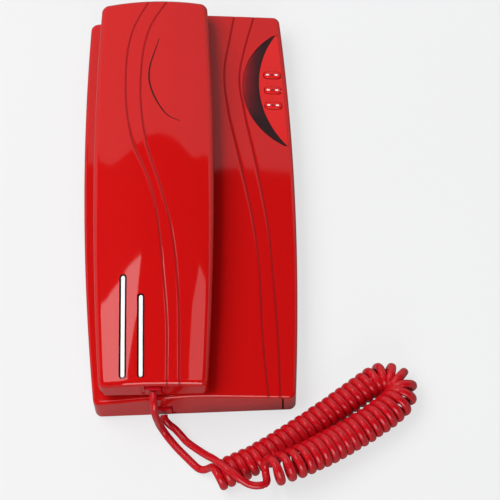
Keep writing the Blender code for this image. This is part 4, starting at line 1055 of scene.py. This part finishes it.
class WALLPHONE_OT_handset_face(bpy.types.Operator):
    """Build the handset's face side: a grip plate with a rounded lobe at each end"""

    bl_idname = "wallphone.handset_face"
    bl_label = "Handset face"

    def execute(self, context):
        inset = HANDSET_WALL + GAP
        half = HANDSET_LENGTH / 2 - inset
        near = near_edge(FACE_CORNER, FACE_CORNER, 6)
        low, high = -half, half - TOP_BOW
        inner = np.linspace(low + near[-1], high - near[-1], 40)[1:-1]
        y = np.concatenate([low + near, inner, high - near[::-1]])
        depth = np.minimum(y - low, high - y)
        side = handset_half_width(y) - inset - quarter_drop(FACE_CORNER, depth)
        plate = between("handset_face_plate", -side, side, y,
                        lambda x, y: 0 * x + GRIP_Z + INNER_THICK, INNER_THICK, 4)
        for side in (1, -1):
            carve(plate, self.lobe(side), "UNION")
        middles = [(0, LOBE_Y), (0, -LOBE_Y)]
        middles += [(HOLE_CIRCLE * np.cos(a), LOBE_Y + HOLE_CIRCLE * np.sin(a))
                    for a in np.arange(6) * np.pi / 3]
        holes = [circle(x, y, HOLE_RADIUS, 16) for x, y in middles]
        carve(plate, prisms("sound_holes", holes, 5 * MM, LOBE_Z + 1.7 * MM))
        screws = [circle(0, side * HANDSET_SCREW_Y, HANDSET_PILOT_RADIUS, 16) for side in (1, -1)]
        carve(plate, prisms("screw_holes", screws, 20 * MM, 32 * MM))
        half_x = PLUG_SIZE[0] / 2 + JACK_WALL + GAP
        low = HANDSET_JACK_Z - PLUG_SIZE[2] / 2 - JACK_WALL - GAP
        seat = rectangle(0, -HANDSET_LENGTH / 2, half_x, PLUG_SIZE[1] + 4 * MM)
        carve(plate, prisms("jack_seat", [seat], low, 40 * MM))
        into_cradle(plate)
        dress(plate, "handset", "red_case", stands_for=["handset_inner_shell"], weighted=True)
        return {"FINISHED"}

    def lobe(self, side):
        """A rounded rectangle carried down to a flat face with a quarter-circle edge."""
        outline = rounded_rectangle(0, side * LOBE_Y, *LOBE_SIZE, LOBE_CORNER, 14)
        turn = np.linspace(0, np.pi / 2, 8)
        edge = 2.5 * MM
        inset = np.concatenate([edge * (1 - np.cos(turn)) / (LOBE_SIZE[0] / 2), [0.35, 0.7]])
        height = np.concatenate([LOBE_Z + edge * (1 - np.sin(turn)), [LOBE_Z, LOBE_Z]])
        points, faces = cushion(outline, inset, height, GRIP_Z + 1 * MM)
        return as_mesh("lobe", points, [face[::-1] for face in faces])


# ---- cord ------------------------------------------------------------------------------------

def even_curve(route, spacing):
    """Evenly spaced points, in metres, on the Catmull-Rom curve through a route in millimetres."""
    knots = np.array(route, float) * MM
    knots = np.concatenate([[2 * knots[0] - knots[1]], knots, [2 * knots[-1] - knots[-2]]])
    a, b, c, d = (knots[i:len(knots) - 3 + i, None] for i in range(4))
    t = (np.arange(24) / 24)[None, :, None]
    fine = 0.5 * (2 * b + (c - a) * t + (2 * a - 5 * b + 4 * c - d) * t**2
                  + (3 * b - a - 3 * c + d) * t**3)
    fine = np.concatenate([fine.reshape(-1, 3), knots[-2:-1]])
    gone = np.concatenate([[0], np.cumsum(np.linalg.norm(np.diff(fine, axis=0), axis=1))])
    at = np.linspace(0, gone[-1], max(int(round(gone[-1] / spacing)), 2) + 1)
    return np.column_stack([np.interp(at, gone, fine[:, k]) for k in range(3)])


def smoothed(rows, size):
    """Running means of size rows, with the first and the last row repeated past the ends."""
    pad = size // 2
    padded = np.pad(rows, ((pad, pad), (0, 0)), "edge")
    window = np.ones(size) / size
    return np.column_stack([np.convolve(column, window, "valid") for column in padded.T])


def unit(v):
    """Vectors divided by their lengths."""
    return v / np.linalg.norm(v, axis=-1, keepdims=True)


def across_of(v, along):
    """The part of v that is square to along, as unit vectors."""
    return unit(v - np.sum(v * along, -1, keepdims=True) * along)


def helix():
    """The coil: a point that circles the centre line while it moves along it.

    The circle's angle grows by one turn for each pitch, and the pitch opens towards the end.
    Returns the points and, at each, the centre line's own direction.
    """
    middle = even_curve(COIL_ROUTE, 0.15 * MM)
    step = np.linalg.norm(np.diff(middle, axis=0), axis=1)
    gone = np.concatenate([[0], np.cumsum(step)])
    share = gone / gone[-1]
    open_by = np.clip((share - 1 + SLACK_TURNS) / SLACK_TURNS, 0, 1)
    pitch = sizes().coil_pitch * (1 + SLACK_OPENING * open_by)
    turns = np.concatenate([[0], np.cumsum(step / ((pitch[1:] + pitch[:-1]) / 2))])
    wanted = (COIL_END_TURN - COIL_START_TURN) / (2 * np.pi)
    whole = np.round(turns[-1] - wanted) + wanted
    angle = COIL_START_TURN + 2 * np.pi * turns * whole / turns[-1]
    count = int(whole * TURN_STEPS)
    at = np.linspace(angle[0], angle[-1], count)
    centre = np.column_stack([np.interp(at, angle, middle[:, k]) for k in range(3)])
    along = unit(np.gradient(centre, axis=0))
    along = unit(smoothed(along, TURN_STEPS + 1))
    up = across_of(np.broadcast_to([0.0, 0.0, 1.0], along.shape), along)
    side = np.cross(along, up)
    share = np.linspace(0, 1, count)
    swell = np.interp(share, *np.transpose(COIL_SWELL_AT))
    outer = sizes().coil_radius + sizes().coil_swell * swell
    centre[:, 2] = np.maximum(centre[:, 2], outer + 0.1 * MM)
    radius = outer - sizes().strand_height / 2
    wave = 1 + 0.02 * np.sin(at * 0.37) + 0.015 * np.sin(at * 0.11 + 1)
    radius = radius * np.minimum(wave, 1.0)
    points = centre + radius[:, None] * (np.cos(at)[:, None] * up + np.sin(at)[:, None] * side)
    return points, along


def eased(points, joint, reach=9):
    """Rounds a path near one of its points by running means that fade out away from it."""
    share = np.clip(1 - np.abs(np.arange(len(points)) - joint) / reach, 0, 1)[:, None]
    for size in (3, 5, 7):
        points = points + (smoothed(points, size) - points) * share
    return points


def carried(frame_at, tangents):
    """Carries a side direction from point to point without twist: each is the last one's part
    that is square to the new tangent."""
    found = [frame_at]
    for tangent in tangents[1:]:
        found.append(across_of(found[-1], tangent))
    return np.array(found)


class WALLPHONE_OT_cord(bpy.types.Operator):
    """Build the curly cord and both of its leads as one strand"""

    bl_idname = "wallphone.cord"
    bl_label = "Cord"

    def execute(self, context):
        size = sizes()
        first = even_curve(HANDSET_LEAD_ROUTE, LEAD_STEP)
        coil, axis = helix()
        last = even_curve(BASE_LEAD_ROUTE, LEAD_STEP)[::-1]
        path = np.concatenate([first[:-1], coil, last[1:]])
        start, end = len(first) - 1, len(first) - 1 + len(coil)
        path = eased(eased(path, start), end)
        along = unit(np.gradient(path, axis=0))
        flat = np.empty_like(path)
        flat[start:end] = across_of(axis, along[start:end])
        flat[:start] = carried(flat[start], along[start::-1])[:0:-1]
        flat[end:] = carried(flat[end - 1], along[end - 1:])[1:]
        thick = np.cross(along, flat)
        index = np.arange(len(path))
        coiled = np.clip(np.minimum(index - start, end - index) / LEAD_FADE, 0, 1)
        width = size.lead_width + (size.strand_width - size.lead_width) * coiled
        height = size.lead_width + (size.strand_height - size.lead_width) * coiled
        turn = np.arange(STRAND_SIDES) * 2 * np.pi / STRAND_SIDES
        ring = (flat[:, None] * (width[:, None] / 2 * np.cos(turn))[..., None]
                + thick[:, None] * (height[:, None] / 2 * np.sin(turn))[..., None])
        points = (path[:, None] + ring).reshape(-1, 3)
        rows = np.arange(len(points)).reshape(len(path), STRAND_SIDES)
        a, b = rows[:-1], rows[1:]
        faces = np.stack([a, np.roll(a, -1, 1), np.roll(b, -1, 1), b], -1).reshape(-1, 4).tolist()
        faces += [rows[0][::-1].tolist(), rows[-1].tolist()]
        cord = as_mesh("curly_cord_strand", points, faces, 60)
        cord.data.materials.append(finish_of("red_cord"))
        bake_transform(cord)
        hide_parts("handset_lead", "curly_cord", "base_lead")
        return {"FINISHED"}


# ---- what stays of the frame, and the studio -------------------------------------------------

class WALLPHONE_OT_frame_finishes(bpy.types.Operator):
    """Give every remaining frame part the finish of its slot"""

    bl_idname = "wallphone.frame_finishes"
    bl_label = "Frame finishes"

    def execute(self, context):
        for part in frame["record"]["subparts"]:
            obj = frame["nodes"][part["node"]]
            obj.data.materials.clear()
            obj.data.materials.append(finish_of(part["material_slot"]))
        return {"FINISHED"}


class WALLPHONE_OT_studio(bpy.types.Operator):
    """Set up the floor, the dark ceiling, the lamps and the camera"""

    bl_idname = "wallphone.studio"
    bl_label = "Studio"

    def execute(self, context):
        self.floor()
        self.ceiling()
        self.lamps(context.scene)
        self.camera(context.scene)
        return {"FINISHED"}

    def floor(self):
        """A broad sheet of matt white acrylic, lit a little from below."""
        corners = rectangle(0, 0, FLOOR_REACH, FLOOR_REACH)
        floor = as_mesh("studio_floor", np.column_stack([corners, np.zeros(4)]), [[0, 1, 2, 3]])
        material, tree, shader = new_material("Backlit white acrylic", 0.9, ior=1.2)
        place = node(tree, "ShaderNodeTexCoord").outputs["Object"]
        haze = node(tree, "ShaderNodeTexNoise", {"Vector": place, "Scale": 6.0, "Detail": 1.0})
        tone = node(tree, "ShaderNodeMapRange", {
            "Value": haze.outputs["Fac"], "To Min": 0.2, "To Max": 0.22})
        shade = node(tree, "ShaderNodeCombineColor", {
            "Red": tone.outputs["Result"], "Green": tone.outputs["Result"],
            "Blue": tone.outputs["Result"]})
        tree.links.new(shade.outputs["Color"], shader.inputs["Base Color"])
        shader.inputs["Emission Color"].default_value = (0.985, 0.99, 1, 1)
        seen = node(tree, "ShaderNodeLightPath").outputs["Is Camera Ray"]
        glow = node(tree, "ShaderNodeMapRange", {"Value": seen, "To Min": 0.12, "To Max": 0.68})
        tree.links.new(glow.outputs["Result"], shader.inputs["Emission Strength"])
        floor.data.materials.append(material)

    def ceiling(self):
        """A dark ceiling whose far edge ends over the back of the table: beyond it the white
        room shows in the gloss. The edge is straight, plus a bell curve for each of its waves,
        and turns away in a hyperbola over one metre on the left."""
        x = np.linspace(-6, 6, 481)
        left = np.minimum(EDGE_TURN - x, 1)
        edge = CEILING_EDGE + EDGE_SLOPE * (left + np.hypot(left, EDGE_ROUND)) / 2
        for middle, rise, half_width in EDGE_WAVES:
            edge = edge + rise * np.exp(-(((x - middle) / half_width) ** 2))
        y = np.stack([np.full_like(x, -6.0), edge])
        x = np.stack([x, x])
        points = np.stack([x, y, np.full_like(x, CEILING_Z)], -1)
        index = np.arange(x.size).reshape(x.shape)
        ceiling = as_mesh("studio_ceiling", points, grid_faces(index))
        material, _, shader = new_material("Black duvetyne", 1.0, ior=1.0)
        shader.inputs["Base Color"].default_value = (0.004, 0.004, 0.004, 1)
        ceiling.data.materials.append(material)

    def lamps(self, scene):
        """Two softboxes over the front with a dark gap between, a broad fill, and the room."""
        studio = scene.wallphone_studio
        for name, outline in SOFTBOXES.items():
            points = [(x * MM, y * MM, SOFTBOX_Z) for x, y in outline]
            box = as_mesh("softbox_" + name, points, [list(range(len(points)))[::-1]])
            material, _, shader = new_material("Lit diffusion cloth, " + name, 1.0)
            shader.inputs["Base Color"].default_value = (0, 0, 0, 1)
            shader.inputs["Emission Color"].default_value = (1, 1, 1, 1)
            strength = studio.left_box if name == "left" else studio.right_box
            shader.inputs["Emission Strength"].default_value = strength
            box.data.materials.append(material)
            if name == "right":
                self.flag(box, "base_cover_shell")
        for name, place, power, across, tilt in (
                ("overhead_fill", (-0.5, 0.1, 1.42), studio.fill, 1.5, (0, -19, 0)),
                ("front_fill", (0.1, -1.7, 0.75), studio.front_fill, 1.0, (66, 0, 3))):
            lamp = bpy.data.lights.new(name, "AREA")
            lamp.shape = "SQUARE"
            lamp.size = across
            lamp.energy = power
            fill = bpy.data.objects.new(name, lamp)
            fill.location = place
            fill.rotation_euler = np.radians(tilt)
            fill.visible_glossy = name == "front_fill"
            scene.collection.objects.link(fill)
        world = bpy.data.worlds.new("White room")
        world.use_nodes = True
        room = world.node_tree.nodes["Background"]
        room.inputs["Color"].default_value = (1, 1, 1, 1)
        room.inputs["Strength"].default_value = studio.surround
        scene.world = world

    def flag(self, box, shaded):
        """Keeps one softbox's light off one piece, as a black flag beside it would."""
        kept_off = bpy.data.collections.new("flagged")
        kept_off.objects.link(bpy.data.objects[shaded])
        kept_off.collection_objects[0].light_linking.link_state = "EXCLUDE"
        box.light_linking.receiver_collection = kept_off

    def camera(self, scene):
        """Looks at a point beside the phone's middle from its azimuth, elevation and roll."""
        studio = scene.wallphone_studio
        turn, lift = studio.azimuth, studio.elevation
        back = np.array([np.sin(turn) * np.cos(lift), -np.cos(turn) * np.cos(lift), np.sin(lift)])
        eye = np.array(PHONE_MIDDLE) + studio.distance * back
        ahead = unit(np.array(CAMERA_AIM) - eye)
        right = unit(np.cross(ahead, [0, 0, 1]))
        up = np.cross(right, ahead)
        c, s = np.cos(studio.roll), np.sin(studio.roll)
        right, up = c * right - s * up, s * right + c * up
        data = bpy.data.cameras.new("camera")
        data.lens = studio.focal
        data.sensor_width = 36
        data.clip_end = 50
        camera = bpy.data.objects.new("camera", data)
        matrix = np.eye(4)
        matrix[:3, 0], matrix[:3, 1], matrix[:3, 2], matrix[:3, 3] = right, up, -ahead, eye
        camera.matrix_world = Matrix(matrix.tolist())
        scene.collection.objects.link(camera)
        scene.camera = camera
        scene.view_settings.view_transform = "Standard"


OPERATORS = (
    WALLPHONE_OT_frame_finishes, WALLPHONE_OT_cord, WALLPHONE_OT_base_cover,
    WALLPHONE_OT_side_panel, WALLPHONE_OT_keypad, WALLPHONE_OT_handset_shell,
    WALLPHONE_OT_handset_face, WALLPHONE_OT_studio,
)


class WALLPHONE_PT_panel(bpy.types.Panel):
    """Lists the phone's build steps in the sidebar"""

    bl_idname = "WALLPHONE_PT_panel"
    bl_label = "Wall Phone"
    bl_space_type = "VIEW_3D"
    bl_region_type = "UI"
    bl_category = "Wall Phone"

    def draw(self, context):
        for group in (context.scene.wallphone_sizes, context.scene.wallphone_colours,
                      context.scene.wallphone_studio):
            column = self.layout.column(align=True)
            for name in group.__annotations__:
                column.prop(group, name)
        for operator in OPERATORS:
            self.layout.operator(operator.bl_idname)


GROUPS = {"wallphone_sizes": PhoneSizes, "wallphone_colours": PhoneColours,
          "wallphone_studio": StudioSettings}


def register():
    for group in GROUPS.values():
        bpy.utils.register_class(group)
    for name, group in GROUPS.items():
        setattr(bpy.types.Scene, name, bpy.props.PointerProperty(type=group))
    for cls in (*OPERATORS, WALLPHONE_PT_panel):
        bpy.utils.register_class(cls)


def unregister():
    for cls in (WALLPHONE_PT_panel, *reversed(OPERATORS)):
        bpy.utils.unregister_class(cls)
    for name in GROUPS:
        delattr(bpy.types.Scene, name)
    for group in GROUPS.values():
        bpy.utils.unregister_class(group)


def main():
    for obj in [o for o in bpy.data.objects if o.name in ("Cube", "Light", "Camera")]:
        bpy.data.objects.remove(obj, do_unlink=True)
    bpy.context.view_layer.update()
    register()
    for operator in OPERATORS:
        family, name = operator.bl_idname.split(".")
        getattr(getattr(bpy.ops, family), name)()


if __name__ == "__main__":
    main()
